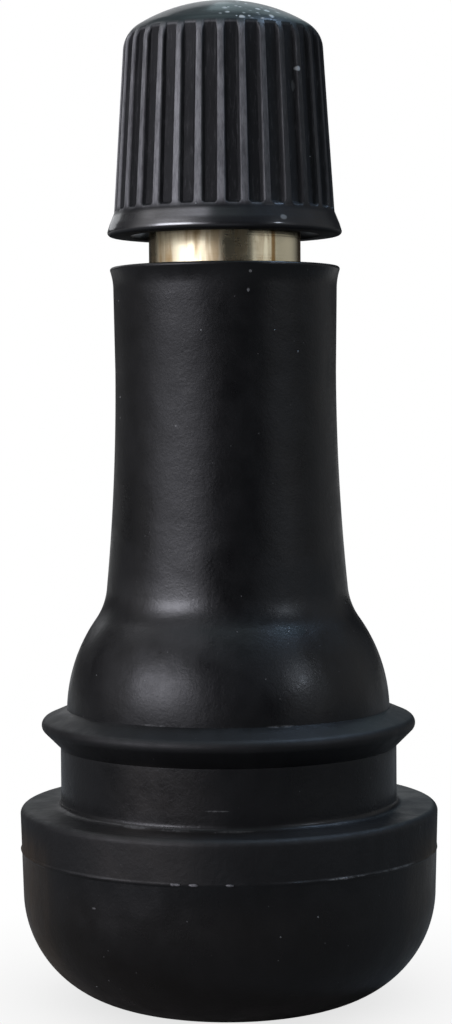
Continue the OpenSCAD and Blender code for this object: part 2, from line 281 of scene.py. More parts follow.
class NodeGroup:
    """A group with named inputs and outputs, which is built once and placed many times."""

    tree_kind = "ShaderNodeTree"
    node_kind = "ShaderNodeGroup"
    name = ""
    inputs: dict[str, Kind] = {}
    outputs: dict[str, Kind] = {}

    def rule(self, graph: NodeGraph, given: Fields) -> Fields:
        """Makes the outputs from the inputs; each group has its own."""
        raise NotImplementedError

    def tree(self) -> bpy.types.NodeTree:
        """Builds the group at its first use.

        Returns:
            The node tree.
        """
        found = bpy.data.node_groups.get(self.name)
        if found:
            return found
        tree = bpy.data.node_groups.new(self.name, self.tree_kind)
        for name, kind in self.inputs.items():
            tree.interface.new_socket(name=name, in_out="INPUT", socket_type=kind.value)
        for name, kind in self.outputs.items():
            tree.interface.new_socket(name=name, in_out="OUTPUT", socket_type=kind.value)
        graph = NodeGraph(tree)
        entry = graph.node("NodeGroupInput")
        given = {name: Field(graph, entry.outputs[name]) for name in self.inputs}
        leave = graph.node("NodeGroupOutput")
        for name, value in self.rule(graph, given).items():
            graph.feed(leave.inputs[name], value)
        return tree

    def place(self, graph: NodeGraph, **values: object) -> Fields:
        """Puts the group into a material.

        Args:
            graph: Tree of the material.
            values: Inputs by name in small letters.

        Returns:
            The outputs by name.
        """
        node = graph.node(self.node_kind)
        node.node_tree = self.tree()
        for name, value in values.items():
            graph.feed(node.inputs[name.capitalize()], value)
        return {name: Field(graph, node.outputs[name]) for name in self.outputs}


class TurnedPlace(NodeGroup):
    """Where a point is on a turned piece, in millimetres and in degrees from the front."""

    name = "turned_place"
    outputs = {"Place": Kind.VECTOR, **numbers("Height", "Angle")}

    def rule(self, graph: NodeGraph, given: Fields) -> Fields:
        """Makes the outputs from the object coordinates.

        Args:
            graph: Tree of the group.
            given: Inputs by name; not used.

        Returns:
            The outputs by name.
        """
        place = Field(graph, graph.node("ShaderNodeTexCoord").outputs["Object"])
        place = graph.stretch(place, (1 / MM, 1 / MM, 1 / MM))
        x, y, z = graph.split(place)
        angle = graph.math("DEGREES", graph.math("ARCTAN2", x, y * -1.0))
        return {"Place": place, "Height": z, "Angle": angle}


class MouldedGrain(NodeGroup):
    """Fine grain of a moulded skin over a slow ripple, as a bump height from 0 to 1."""

    name = "moulded_grain"
    inputs = {"Place": Kind.VECTOR, **numbers("Fine", "Slow", "Share")}
    outputs = numbers("Height")

    def rule(self, graph: NodeGraph, given: Fields) -> Fields:
        """Adds the ripple to the grain.

        Args:
            graph: Tree of the group.
            given: Inputs by name.

        Returns:
            The outputs by name.
        """
        fine = graph.noise(given["Place"], given["Fine"], 3.0, 0.6)
        slow = graph.noise(given["Place"], given["Slow"], 2.0, 0.4, 3.0)
        share = given["Share"]
        return {"Height": fine * share + slow * (1.0 - share)}


class ToneBlotch(NodeGroup):
    """Cloudy patches from 0 to 1 that vary tone and gloss."""

    name = "tone_blotch"
    inputs = {"Place": Kind.VECTOR, **numbers("Scale", "Low", "High", "Seed")}
    outputs = numbers("Mask")

    def rule(self, graph: NodeGraph, given: Fields) -> Fields:
        """Steps a soft noise between the two limits."""
        cloud = graph.noise(given["Place"], given["Scale"], 4.0, 0.6, given["Seed"])
        return {"Mask": graph.ramp(cloud, given["Low"], given["High"])}


class DustSpecks(NodeGroup):
    """Small scattered specks of dust and lint."""

    name = "dust_specks"
    inputs = {"Place": Kind.VECTOR, **numbers("Scale", "Size", "Cover")}
    outputs = numbers("Mask")

    def rule(self, graph: NodeGraph, given: Fields) -> Fields:
        """Keeps a share of the cells and draws a speck at the centre of each.

        Args:
            graph: Tree of the group.
            given: Inputs by name.

        Returns:
            The outputs by name.
        """
        cells = graph.node("ShaderNodeTexVoronoi")
        graph.feed(cells.inputs["Vector"], given["Place"])
        graph.feed(cells.inputs["Scale"], given["Scale"])
        pick, share, _ = graph.split(Field(graph, cells.outputs["Color"]))
        size = given["Size"] * (0.4 + share)
        speck = graph.ramp(Field(graph, cells.outputs["Distance"]), size * 0.4, size, 1.0, 0.0)
        kept = graph.math("LESS_THAN", pick, given["Cover"])
        return {"Mask": speck * kept}


class TurningLines(NodeGroup):
    """Fine lines that a cutting tool leaves round a turned piece, as a bump height from 0 to 1."""

    name = "turning_lines"
    inputs = {"Place": Kind.VECTOR, **numbers("Scale")}
    outputs = numbers("Height")

    def rule(self, graph: NodeGraph, given: Fields) -> Fields:
        """Makes noise that changes along the radius and the height only.

        Args:
            graph: Tree of the group.
            given: Inputs by name.

        Returns:
            The outputs by name.
        """
        x, y, z = graph.split(given["Place"])
        radius = graph.math("SQRT", x * x + y * y)
        return {"Height": graph.noise(graph.vector(radius, 0.0, z), given["Scale"], 3.0, 0.7)}


class SurfaceMark(NodeGroup):
    """One soft oval mark at an angle and a height."""

    name = "surface_mark"
    inputs = numbers("Angle", "Height", "Turn", "Level", "Width", "Tall")
    outputs = numbers("Mask")

    def rule(self, graph: NodeGraph, given: Fields) -> Fields:
        """Steps down from the centre of the oval to its edge.

        Args:
            graph: Tree of the group.
            given: Inputs by name.

        Returns:
            The outputs by name.
        """
        across = (given["Angle"] - given["Turn"]) / given["Width"]
        up = (given["Height"] - given["Level"]) / given["Tall"]
        return {"Mask": graph.ramp(across * across + up * up, 0.2, 1.0, 1.0, 0.0)}


class ShapeTree(NodeGroup):
    """A geometry tree that shapes one piece and ends in plain faces with their material."""

    tree_kind = "GeometryNodeTree"
    given_shape = {"Geometry": Kind.SHAPE, "Material": Kind.MATERIAL}
    outputs = {"Geometry": Kind.SHAPE}
    lengths: dict[str, Kind] = {}

    def closing(self, graph: NodeGraph, shape: object, material: Field) -> Fields:
        """Ends the tree with plain faces in their material."""
        plain = graph.made("GeometryNodeRealizeInstances", {"Geometry": shape})
        return {"Geometry": graph.made("GeometryNodeSetMaterial", {"Geometry": plain, "Material": material})}

    def apply(self, piece: Piece, material: Material, **values: float) -> None:
        """Runs the tree on a piece and keeps the result as its plain mesh.

        Args:
            piece: Object whose mesh goes in.
            material: Material of the faces.
            values: Inputs by name in small letters, with lengths in millimetres.
        """
        tree = self.tree()
        modifier = piece.modifiers.new(self.name, "NODES")
        modifier.node_group = tree
        sockets = {item.name: item.identifier for item in tree.interface.items_tree if item.in_out == "INPUT"}
        modifier[sockets["Material"]] = material
        for name, value in values.items():
            socket = name.capitalize()
            modifier[sockets[socket]] = value * MM if socket in self.lengths else value
        graph = bpy.context.evaluated_depsgraph_get()
        mesh = bpy.data.meshes.new_from_object(piece.evaluated_get(graph), depsgraph=graph)
        piece.modifiers.clear()
        old = piece.data
        piece.data = mesh
        bpy.data.meshes.remove(old)
        mesh.name = piece.name

    def polar(self, graph: NodeGraph) -> tuple[Field, Field, Field, Field, Field]:
        """The parts x, y and z of each point's place, its radius and its angle from +X."""
        x, y, z = graph.split(Field(graph, graph.node("GeometryNodeInputPosition").outputs[0]))
        return x, y, z, graph.math("SQRT", x * x + y * y), graph.math("ARCTAN2", y, x)


class ScrewThread(ShapeTree):
    """Cuts a right-handed thread into the points of a wall."""

    name = "screw_thread"
    lengths = numbers("Crest", "Depth", "Pitch", "Low", "High", "Fade", "Inner", "Outer")
    inputs = {**ShapeTree.given_shape, **lengths}
    flat = 0.12

    def rule(self, graph: NodeGraph, given: Fields) -> Fields:
        """Brings each chosen point in to the thread's own radius.

        Args:
            graph: Tree of the group.
            given: Inputs by name.

        Returns:
            The outputs by name.
        """
        x, y, z, radius, angle = self.polar(graph)
        turn = graph.math("FRACT", z / given["Pitch"] - angle / math.tau)
        peak = 1.0 - graph.math("ABSOLUTE", turn * 2.0 - 1.0)
        groove = graph.math("MAXIMUM", (peak - self.flat) / (1 - 2 * self.flat), 0.0)
        groove = graph.math("MINIMUM", groove, 1.0)
        fade = graph.ramp(z, given["Low"], given["Low"] + given["Fade"])
        fade = fade * (1.0 - graph.ramp(z, given["High"] - given["Fade"], given["High"]))
        thread = given["Crest"] - given["Depth"] * groove * fade
        scale = graph.math("MINIMUM", radius, thread) / radius
        chosen = graph.math("GREATER_THAN", radius, given["Inner"])
        chosen = chosen * graph.math("LESS_THAN", radius, given["Outer"])
        chosen = chosen * graph.math("GREATER_THAN", fade, 0.0)
        place = graph.vector(x * scale, y * scale, z)
        moved = {"Geometry": given["Geometry"], "Selection": chosen, "Position": place}
        return self.closing(graph, graph.made("GeometryNodeSetPosition", moved), given["Material"])


class CapFlutes(ShapeTree):
    """Presses a ring of flat-floored flutes into a tapered wall and notes where the ridges are."""

    name = "cap_flutes"
    lengths = numbers("Floor", "Mouth", "Depth", "Wall", "Foot", "Fade", "Soft", "Inner")
    inputs = {**ShapeTree.given_shape, **numbers("Count", "Turn", "Slope"), **lengths}

    def rule(self, graph: NodeGraph, given: Fields) -> Fields:
        """Brings each outer point in to the bed of its nearest flute.

        Args:
            graph: Tree of the group.
            given: Inputs by name.

        Returns:
            The outputs by name.
        """
        x, y, z, radius, angle = self.polar(graph)
        step = graph.math("DIVIDE", math.tau, given["Count"])
        turned = angle - given["Turn"]
        off = turned - step * graph.math("ROUND", turned / step)
        across = radius * graph.math("SINE", off)
        along = radius * graph.math("COSINE", off)
        wall = given["Wall"] - given["Slope"] * (z - given["Foot"])
        depth = given["Depth"] * graph.ramp(z, given["Foot"], given["Foot"] + given["Fade"])
        beyond = graph.math("MAXIMUM", graph.math("ABSOLUTE", across) - given["Floor"] * 0.5, 0.0)
        rise = beyond * given["Depth"] / (given["Mouth"] * 0.5 - given["Floor"] * 0.5)
        bed = wall - depth + rise
        lowered = graph.math("SMOOTH_MIN", along, bed, given["Soft"])
        scale = lowered / along
        chosen = graph.math("GREATER_THAN", radius, given["Inner"])
        chosen = chosen * graph.math("GREATER_THAN", z, given["Foot"])
        ridge = graph.math("MAXIMUM", 1.0 - (along - lowered) / given["Depth"] * chosen, 0.0)
        noted = {"Geometry": given["Geometry"], "Name": "ridge", "Value": ridge}
        noted = graph.made("GeometryNodeStoreNamedAttribute", noted, data_type="FLOAT", domain="POINT")
        place = graph.vector(x * scale, y * scale, z)
        moved = {"Geometry": noted, "Selection": chosen, "Position": place}
        return self.closing(graph, graph.made("GeometryNodeSetPosition", moved), given["Material"])


class MouldLine(ShapeTree):
    """Raises the thin line of flash where two halves of the mould met, torn off along one stretch."""

    name = "mould_line"
    lengths = numbers("Level", "Half", "Proud", "Inner")
    inputs = {**ShapeTree.given_shape, **numbers("Torn", "Reach", "Seed"), **lengths}

    def rule(self, graph: NodeGraph, given: Fields) -> Fields:
        """Moves the points near the line outwards by an uneven height.

        Args:
            graph: Tree of the group.
            given: Inputs by name.

        Returns:
            The outputs by name.
        """
        x, y, z, radius, angle = self.polar(graph)
        ragged = graph.noise(graph.vector(x / MM, y / MM, 0.0), 1.1, 3.0, 0.65, given["Seed"])
        height = 0.25 + 0.75 * graph.ramp(ragged, 0.36, 0.62)
        away = graph.math("ABSOLUTE", angle - given["Torn"])
        height = height * graph.ramp(away, given["Reach"] * 0.7, given["Reach"] * 1.25, 0.06, 1.0)
        near = (z - given["Level"]) / given["Half"]
        lift = given["Proud"] * height * graph.ramp(near * near, 0.0, 1.0, 1.0, 0.0)
        scale = (radius + lift) / radius
        chosen = graph.math("GREATER_THAN", radius, given["Inner"])
        place = graph.vector(x * scale, y * scale, z)
        moved = {"Geometry": given["Geometry"], "Selection": chosen, "Position": place}
        return self.closing(graph, graph.made("GeometryNodeSetPosition", moved), given["Material"])


class FlashNibs(ShapeTree):
    """Sets a crumb of torn flash on each point."""

    name = "flash_nibs"
    lengths = numbers("Size")
    inputs = {**ShapeTree.given_shape, "Seed": Kind.WHOLE, **lengths}
    least = (1.1, 0.45, 0.45)
    most = (2.0, 0.7, 0.8)

    def rule(self, graph: NodeGraph, given: Fields) -> Fields:
        """Places small lumps with their own stretch and turn.

        Args:
            graph: Tree of the group.
            given: Inputs by name.

        Returns:
            The outputs by name.
        """
        lump = graph.made("GeometryNodeMeshIcoSphere", {"Radius": given["Size"], "Subdivisions": 2})
        spot = Field(graph, graph.node("GeometryNodeInputPosition").outputs[0])
        swell = 0.55 + 0.9 * graph.noise(spot, 9.0 / MM, 2.0, 0.6, 5.0)
        x, y, z, _, angle = self.polar(graph)
        moved = {"Geometry": lump, "Position": graph.vector(x * swell, y * swell, z * swell)}
        lump = graph.made("GeometryNodeSetPosition", moved)
        stretch = graph.node("FunctionNodeRandomValue", data_type="FLOAT_VECTOR")
        stretch.inputs[0].default_value = self.least
        stretch.inputs[1].default_value = self.most
        graph.feed(stretch.inputs["Seed"], given["Seed"])
        spread = {"Points": given["Geometry"], "Instance": lump, "Scale": stretch.outputs[0],
                  "Rotation": graph.vector(0.0, 0.0, angle + math.pi / 2)}
        return self.closing(graph, graph.made("GeometryNodeInstanceOnPoints", spread), given["Material"])


class CoilSpring(ShapeTree):
    """Winds round wire into a spring whose two end turns lie close."""

    name = "coil_spring"
    lengths = numbers("Coil", "Wire", "Low", "High")
    inputs = {"Material": Kind.MATERIAL, "Steps": Kind.WHOLE, **numbers("Turns"), **lengths}
    section_steps = 12

    def rule(self, graph: NodeGraph, given: Fields) -> Fields:
        """Runs a round section along the path of the wire.

        Args:
            graph: Tree of the group.
            given: Inputs by name.

        Returns:
            The outputs by name.
        """
        line = graph.made("GeometryNodeMeshLine", {"Count": given["Steps"] + 1.0})
        index = Field(graph, graph.node("GeometryNodeInputIndex").outputs[0])
        turn = index / given["Steps"] * given["Turns"]
        wire = given["Wire"]
        first = graph.math("MINIMUM", turn, 1.0)
        last = graph.math("MAXIMUM", turn - given["Turns"] + 1.0, 0.0)
        middle = (turn - first - last) / (given["Turns"] - 2.0)
        room = given["High"] - given["Low"] - wire * 3.0
        height = given["Low"] + wire * 0.5 + wire * (first + last) + room * middle
        angle = turn * math.tau
        across, along = (given["Coil"] * graph.math(name, angle) for name in ("COSINE", "SINE"))
        path = graph.vector(across, along, height)
        line = graph.made("GeometryNodeSetPosition", {"Geometry": line, "Position": path})
        curve = graph.made("GeometryNodeMeshToCurve", {"Mesh": line})
        round_wire = {"Resolution": self.section_steps, "Radius": wire * 0.5}
        section = graph.made("GeometryNodeCurvePrimitiveCircle", round_wire)
        swept = {"Curve": curve, "Profile Curve": section, "Fill Caps": True}
        return self.closing(graph, graph.made("GeometryNodeCurveToMesh", swept), given["Material"])


class Outline:
    """Section of a turned piece, in millimetres of radius and height, from point to point."""

    def __init__(self, radius: float, height: float) -> None:
        """Starts at a point."""
        self.points: list[Point] = [(radius, height)]

    def line(self, radius: float, height: float, step: float = 0.0) -> "Outline":
        """Goes straight to a point.

        Args:
            radius: Radius of the point.
            height: Height of the point.
            step: Longest step on the way, or 0 for one step.

        Returns:
            The outline itself.
        """
        r0, z0 = self.points[-1]
        count = max(1, math.ceil(math.hypot(radius - r0, height - z0) / step)) if step else 1
        for i in range(1, count + 1):
            self.points.append((r0 + (radius - r0) * i / count, z0 + (height - z0) * i / count))
        return self

    def arc(self, centre: Point, radius: float, start: float, end: float, count: int) -> "Outline":
        """Goes round an arc.

        Args:
            centre: Centre of the arc.
            radius: Radius of the arc.
            start: Angle of the first point in degrees.
            end: Angle of the last point in degrees.
            count: Number of steps.

        Returns:
            The outline itself.
        """
        for i in range(count + 1):
            a = math.radians(start + (end - start) * i / count)
            spot = (centre[0] + radius * math.cos(a), centre[1] + radius * math.sin(a))
            if math.dist(spot, self.points[-1]) > SAME_SPOT:
                self.points.append(spot)
        return self

    @classmethod
    def rounded(cls, corners: Sequence[tuple[float, float, float]], count: int = 4) -> "Outline":
        """Closed section with rounded corners.

        Args:
            corners: Radius, height and rounding of each corner in order.
            count: Number of steps in a rounding.

        Returns:
            The outline.
        """
        made: Optional[Outline] = None
        for i, (r, z, rounding) in enumerate(corners):
            here = Vector((r, z))
            before = (Vector(corners[i - 1][:2]) - here).normalized()
            after = (Vector(corners[(i + 1) % len(corners)][:2]) - here).normalized()
            half = before.angle(after) / 2
            path = [here]
            if rounding:
                middle = here + (before + after).normalized() * (rounding / math.sin(half))
                reach = rounding / math.tan(half)
                first, last = here + before * reach - middle, here + after * reach - middle
                sweep = first.angle_signed(last)
                path = [middle + Quaternion((0, 0, 1), -sweep * k / count).to_matrix().to_2x2() @ first
                        for k in range(count + 1)]
            for spot in path:
                if made is None:
                    made = cls(*spot)
                else:
                    made.line(*spot)
        return made

    def lathe(self, name: str, segments: int, sharp: float = MOULDED_SHARP) -> Piece:
        """Turns the section round the axis.

        Args:
            name: Name of the new object.
            segments: Number of steps round the axis.
            sharp: Angle in degrees past which an edge stays sharp.

        Returns:
            The closed piece.
        """
        spots: list[tuple[float, float, float]] = []
        rows: list[list[int]] = []
        for radius, height in self.points:
            count = 1 if radius < SAME_SPOT else segments
            rows.append([len(spots) + k % count for k in range(segments)])
            for k in range(count):
                a = math.tau * k / segments
                spots.append((radius * math.cos(a) * MM, radius * math.sin(a) * MM, height * MM))
        open_ends = len(set(rows[0])) == 1 and len(set(rows[-1])) == 1
        pairs = list(zip(rows, rows[1:])) + ([] if open_ends else [(rows[-1], rows[0])])
        faces = []
        for low, high in pairs:
            for k in range(segments):
                n = (k + 1) % segments
                face = list(dict.fromkeys((low[k], low[n], high[n], high[k])))
                if len(face) > 2:
                    faces.append(face)
        return piece_from(name, spots, faces, sharp)


def placed(name: str, data: bpy.types.ID) -> Piece:
    """Puts new data into the scene.

    Args:
        name: Name of the new object.
        data: Mesh, lamp or camera.

    Returns:
        The new object.
    """
    item = bpy.data.objects.new(name, data)
    bpy.context.scene.collection.objects.link(item)
    return item


def cleared(owner: Union[Material, bpy.types.World]) -> NodeGraph:
    """Empties the node tree of a material or a world.

    Args:
        owner: The material or the world.

    Returns:
        The graph of the empty tree.
    """
    owner.use_nodes = True
    owner.node_tree.nodes.clear()
    return NodeGraph(owner.node_tree)


def piece_from(name: str, spots: list, faces: list, sharp: float) -> Piece:
    """Makes an object from points and faces, with its normals outwards.

    Args:
        name: Name of the new object.
        spots: Points in metres.
        faces: Point numbers of each face.
        sharp: Angle in degrees past which an edge stays sharp.

    Returns:
        The new object, in the scene.
    """
    mesh = bpy.data.meshes.new(name)
    mesh.from_pydata(spots, [], faces)
    work = bmesh.new()
    work.from_mesh(mesh)
    bmesh.ops.recalc_face_normals(work, faces=work.faces)
    work.to_mesh(mesh)
    work.free()
    piece = placed(name, mesh)
    shade(piece, sharp)
    return piece


def shade(piece: Piece, sharp: float) -> None:
    """Smooths a piece apart from edges past an angle in degrees."""
    piece.data.shade_smooth()
    piece.data.set_sharp_from_angle(angle=math.radians(sharp))


def dress(piece: Piece, material: Material, slot: Slot, body: Body, *nodes: str) -> None:
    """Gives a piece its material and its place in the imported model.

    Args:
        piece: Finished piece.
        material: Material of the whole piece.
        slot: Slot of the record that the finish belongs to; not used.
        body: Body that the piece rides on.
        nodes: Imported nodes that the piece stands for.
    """
    piece.data.materials.clear()
    piece.data.materials.append(material)
    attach(piece, body.value)
    if nodes:
        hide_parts(*nodes)
    LOG.info("%s rides on %s, %d faces", piece.name, body.value, len(piece.data.polygons))


@dataclass(frozen=True)
class Mark:
    """One scuff or speck: its angle from the front, its height, its half sizes and how strongly it shows."""

    turn: float
    level: float
    width: float
    tall: float
    share: float


class Skin:
    """A new material with one Principled shader, and where its points are on a turned piece."""

    def __init__(self, name: str, **plain: float) -> None:
        """Starts the material.

        Args:
            name: Name of the material.
            plain: Values that are the same all over, by input name with _ for a space.
        """
        self.material = bpy.data.materials.new(name)
        self.graph = cleared(self.material)
        self.shader = self.graph.node("ShaderNodeBsdfPrincipled")
        for socket, value in plain.items():
            self.feed(socket.replace("_", " "), value)
        leave = self.graph.node("ShaderNodeOutputMaterial")
        self.graph.feed(leave.inputs["Surface"], self.shader.outputs[0])
        at = TurnedPlace().place(self.graph)
        self.place, self.height, self.angle = at["Place"], at["Height"], at["Angle"]

    def feed(self, socket: str, value: Term) -> None:
        """Joins a value to an input of the shader."""
        self.graph.feed(self.shader.inputs[socket], value)

    def blotch(self, scale: float, low: float, high: float, seed: float,
               way: Size = (1.0, 1.0, 1.0)) -> Field:
        """Mask of cloudy patches, which are longer along an axis with a smaller number in way."""
        place = self.graph.stretch(self.place, way)
        return ToneBlotch().place(self.graph, place=place, scale=scale, low=low, high=high, seed=seed)["Mask"]

    def specks(self, scale: float, size: float, cover: float) -> Field:
        """Mask of scattered specks."""
        return DustSpecks().place(self.graph, place=self.place, scale=scale, size=size, cover=cover)["Mask"]

    def grain(self, fine: float, slow: float, share: float) -> Field:
        """Bump height of a moulded skin."""
        return MouldedGrain().place(self.graph, place=self.place, fine=fine, slow=slow, share=share)["Height"]

    def marked(self, marks: tuple[Mark, ...]) -> Field:
        """Joins a list of marks to one mask.

        Args:
            marks: The marks.

        Returns:
            The mask.
        """
        total = None
        for mark in marks:
            oval = SurfaceMark().place(self.graph, angle=self.angle, height=self.height, turn=mark.turn,
                                       level=mark.level, width=mark.width, tall=mark.tall)
            spot = oval["Mask"] * mark.share
            total = spot if total is None else self.graph.math("MAXIMUM", total, spot)
        return total

    def bump(self, height: Field, reach: float) -> None:
        """Joins a bump height from 0 to 1 to the shader, with the height of 1 in millimetres."""
        inputs = {"Height": height, "Strength": 1.0, "Distance": reach * MM}
        self.feed("Normal", self.graph.made("ShaderNodeBump", inputs))


@dataclass(frozen=True)
class RubberFinish:
    """Black moulded rubber with a little dust and painted light: a grey bloom painted on the lit left of its
    recesses, a brown reflection on its sides and bluish highlights on its bell.
    """

    name: str = "black_rubber"
    dark: Colour = (0.0036, 0.0035, 0.0038)
    worn: Colour = (0.008, 0.0078, 0.0083)
    # Grey of the bloom, painted on the lit left side only: bloom and painted light together.
    bloom_and_painted_light: Colour = (0.032, 0.027, 0.024)
    # Brown of a painted warm reflection on the sides of the base.
    brown: Colour = (0.06, 0.035, 0.014)
    dust: Colour = (0.2, 0.2, 0.2)
    # Bluish colour of highlights painted on the right of the bell.
    painted_gleam: Colour = (0.06, 0.08, 0.092)
    seat_z: float = 8.85
    groove_z: float = 11.55
    line_z: float = 6.93
    hollow_z: float = 19.2
    bead_z: float = 13.2
    shine: float = 0.28
    gloss: float = 0.31
    reach: float = 0.042
    marks: tuple[Mark, ...] = (
        Mark(-26.0, 13.3, 5.0, 0.06, 0.3), Mark(17.7, 13.27, 5.5, 0.06, 0.3),
        Mark(-4.0, 9.75, 4.6, 0.04, 0.3), Mark(-31.0, 8.92, 6.0, 0.07, 0.25),
        Mark(-17.0, 8.9, 7.0, 0.05, 0.18), Mark(2.0, 8.9, 7.0, 0.05, 0.15),
        Mark(37.0, 8.92, 5.0, 0.06, 0.15), Mark(12.4, 32.75, 1.0, 0.07, 1.0),
        Mark(11.4, 31.95, 0.8, 0.1, 0.8), Mark(-25.6, 26.1, 0.8, 0.06, 0.7),
        Mark(-38.0, 5.6, 0.8, 0.05, 0.4), Mark(63.0, 22.4, 0.9, 0.06, 0.5),
        Mark(32.0, 6.96, 7.0, 0.06, 0.5), Mark(50.0, 6.96, 10.0, 0.06, 0.35),
        Mark(-32.0, 6.98, 9.0, 0.05, 0.08), Mark(150.0, 15.0, 6.0, 0.08, 0.25),
        Mark(-140.0, 24.0, 1.0, 0.9, 0.2),
    )
    # Where the painted highlights go: a bluish dash high on the bell and a spot lower down.
    painted_gleams: tuple[Mark, ...] = (
        Mark(26.0, 17.2, 9.0, 0.3, 1.0), Mark(27.5, 15.2, 2.4, 0.24, 0.25),
    )

    def build(self) -> Material:
        """Makes the material.

        Returns:
            The material.
        """
        skin = Skin(self.name)
        graph, height, angle = skin.graph, skin.height, skin.angle
        blotch = skin.blotch(scale=0.45, low=0.3, high=0.72, seed=1.0)
        streak = skin.blotch(scale=0.7, low=0.35, high=0.7, seed=4.0, way=(1.6, 1.6, 0.35))
        groove = graph.band(height, self.seat_z - 0.1, self.groove_z, 0.25)
        upper = graph.band(height, self.line_z, self.seat_z + 0.05, 0.08)
        edge = graph.band(graph.math("ABSOLUTE", angle), 62.0, 92.0, 12.0)
        edge = edge * graph.ramp(height, self.line_z, 8.5, 1.0, 0.0)
        # Mask of the lit left side, where the grey of painted light goes.
        left = graph.band(angle, -38.0, -9.0, 9.0)
        bead = graph.band(height, self.groove_z, self.bead_z, 0.2)
        ragged = graph.ramp(graph.noise(skin.place, 4.5, 3.0, 0.7, 5.0), 0.35, 0.6)
        scuff = skin.marked(self.marks) * ragged
        speck = skin.specks(scale=1.9, size=0.09, cover=0.05)
        fine = skin.specks(scale=5.0, size=0.14, cover=0.05)
        colour = graph.mix(blotch * 0.5 + streak * 0.3, self.dark, self.worn)
        # The grey bloom is painted only on the lit left side of the groove and the seat wall, so it is
        # painted light as well as bloom; towards the groove foot it fades to a third, which is painted shade.
        foot = graph.ramp(height, self.seat_z + 0.15, self.seat_z + 1.3, 0.3, 1.0)
        painted_lit_bloom = (groove * 0.55 * foot + upper * 0.5) * left * (0.4 + 0.6 * blotch)
        colour = graph.mix(painted_lit_bloom, colour, self.bloom_and_painted_light)
        # Brown on the left and right sides of the base, as seen from the front, is a painted warm reflection;
        # a faint brown is also laid towards the bottom of the base.
        warm = edge * (0.25 + 0.3 * streak) + graph.ramp(height, self.line_z - 2.0, self.line_z, 0.03, 0.0)
        colour = graph.mix(warm, colour, self.brown)
        dusty = graph.math("MAXIMUM", graph.math("MAXIMUM", speck, fine * 0.35), scuff)
        colour = graph.mix(dusty, colour, self.dust)
        # Bluish highlights painted on the right of the bell, where the rubber is also made glossier.
        painted_gleam = skin.marked(self.painted_gleams)
        colour = graph.mix(painted_gleam * 0.25, colour, self.painted_gleam)
        skin.feed("Base Color", colour)
        hollow = graph.band(height, self.hollow_z - 1.0, self.hollow_z + 1.0, 0.6)
        sheen = graph.band(height, self.hollow_z - 1.2, self.hollow_z, 0.55)
        sheen = sheen * graph.band(angle, -62.0, -8.0, 8.0)
        skin.feed("Specular IOR Level", self.shine + 0.2 * sheen)
        rough = self.gloss + 0.14 * blotch - 0.08 * streak - 0.02 * groove + 0.24 * upper + 0.2 * bead
        rough = rough + 0.14 * hollow * graph.band(angle, 12.0, 60.0, 8.0) - 0.16 * painted_gleam
        skin.feed("Roughness", rough)
        grain = skin.grain(fine=7.5, slow=0.7, share=0.2)
        coarse = graph.noise(skin.place, 3.6, 2.0, 0.6, 7.0)
        relief = grain + coarse * (0.12 + 0.35 * upper + 0.1 * groove) + speck * 0.6
        skin.bump(relief, self.reach)
        return skin.material


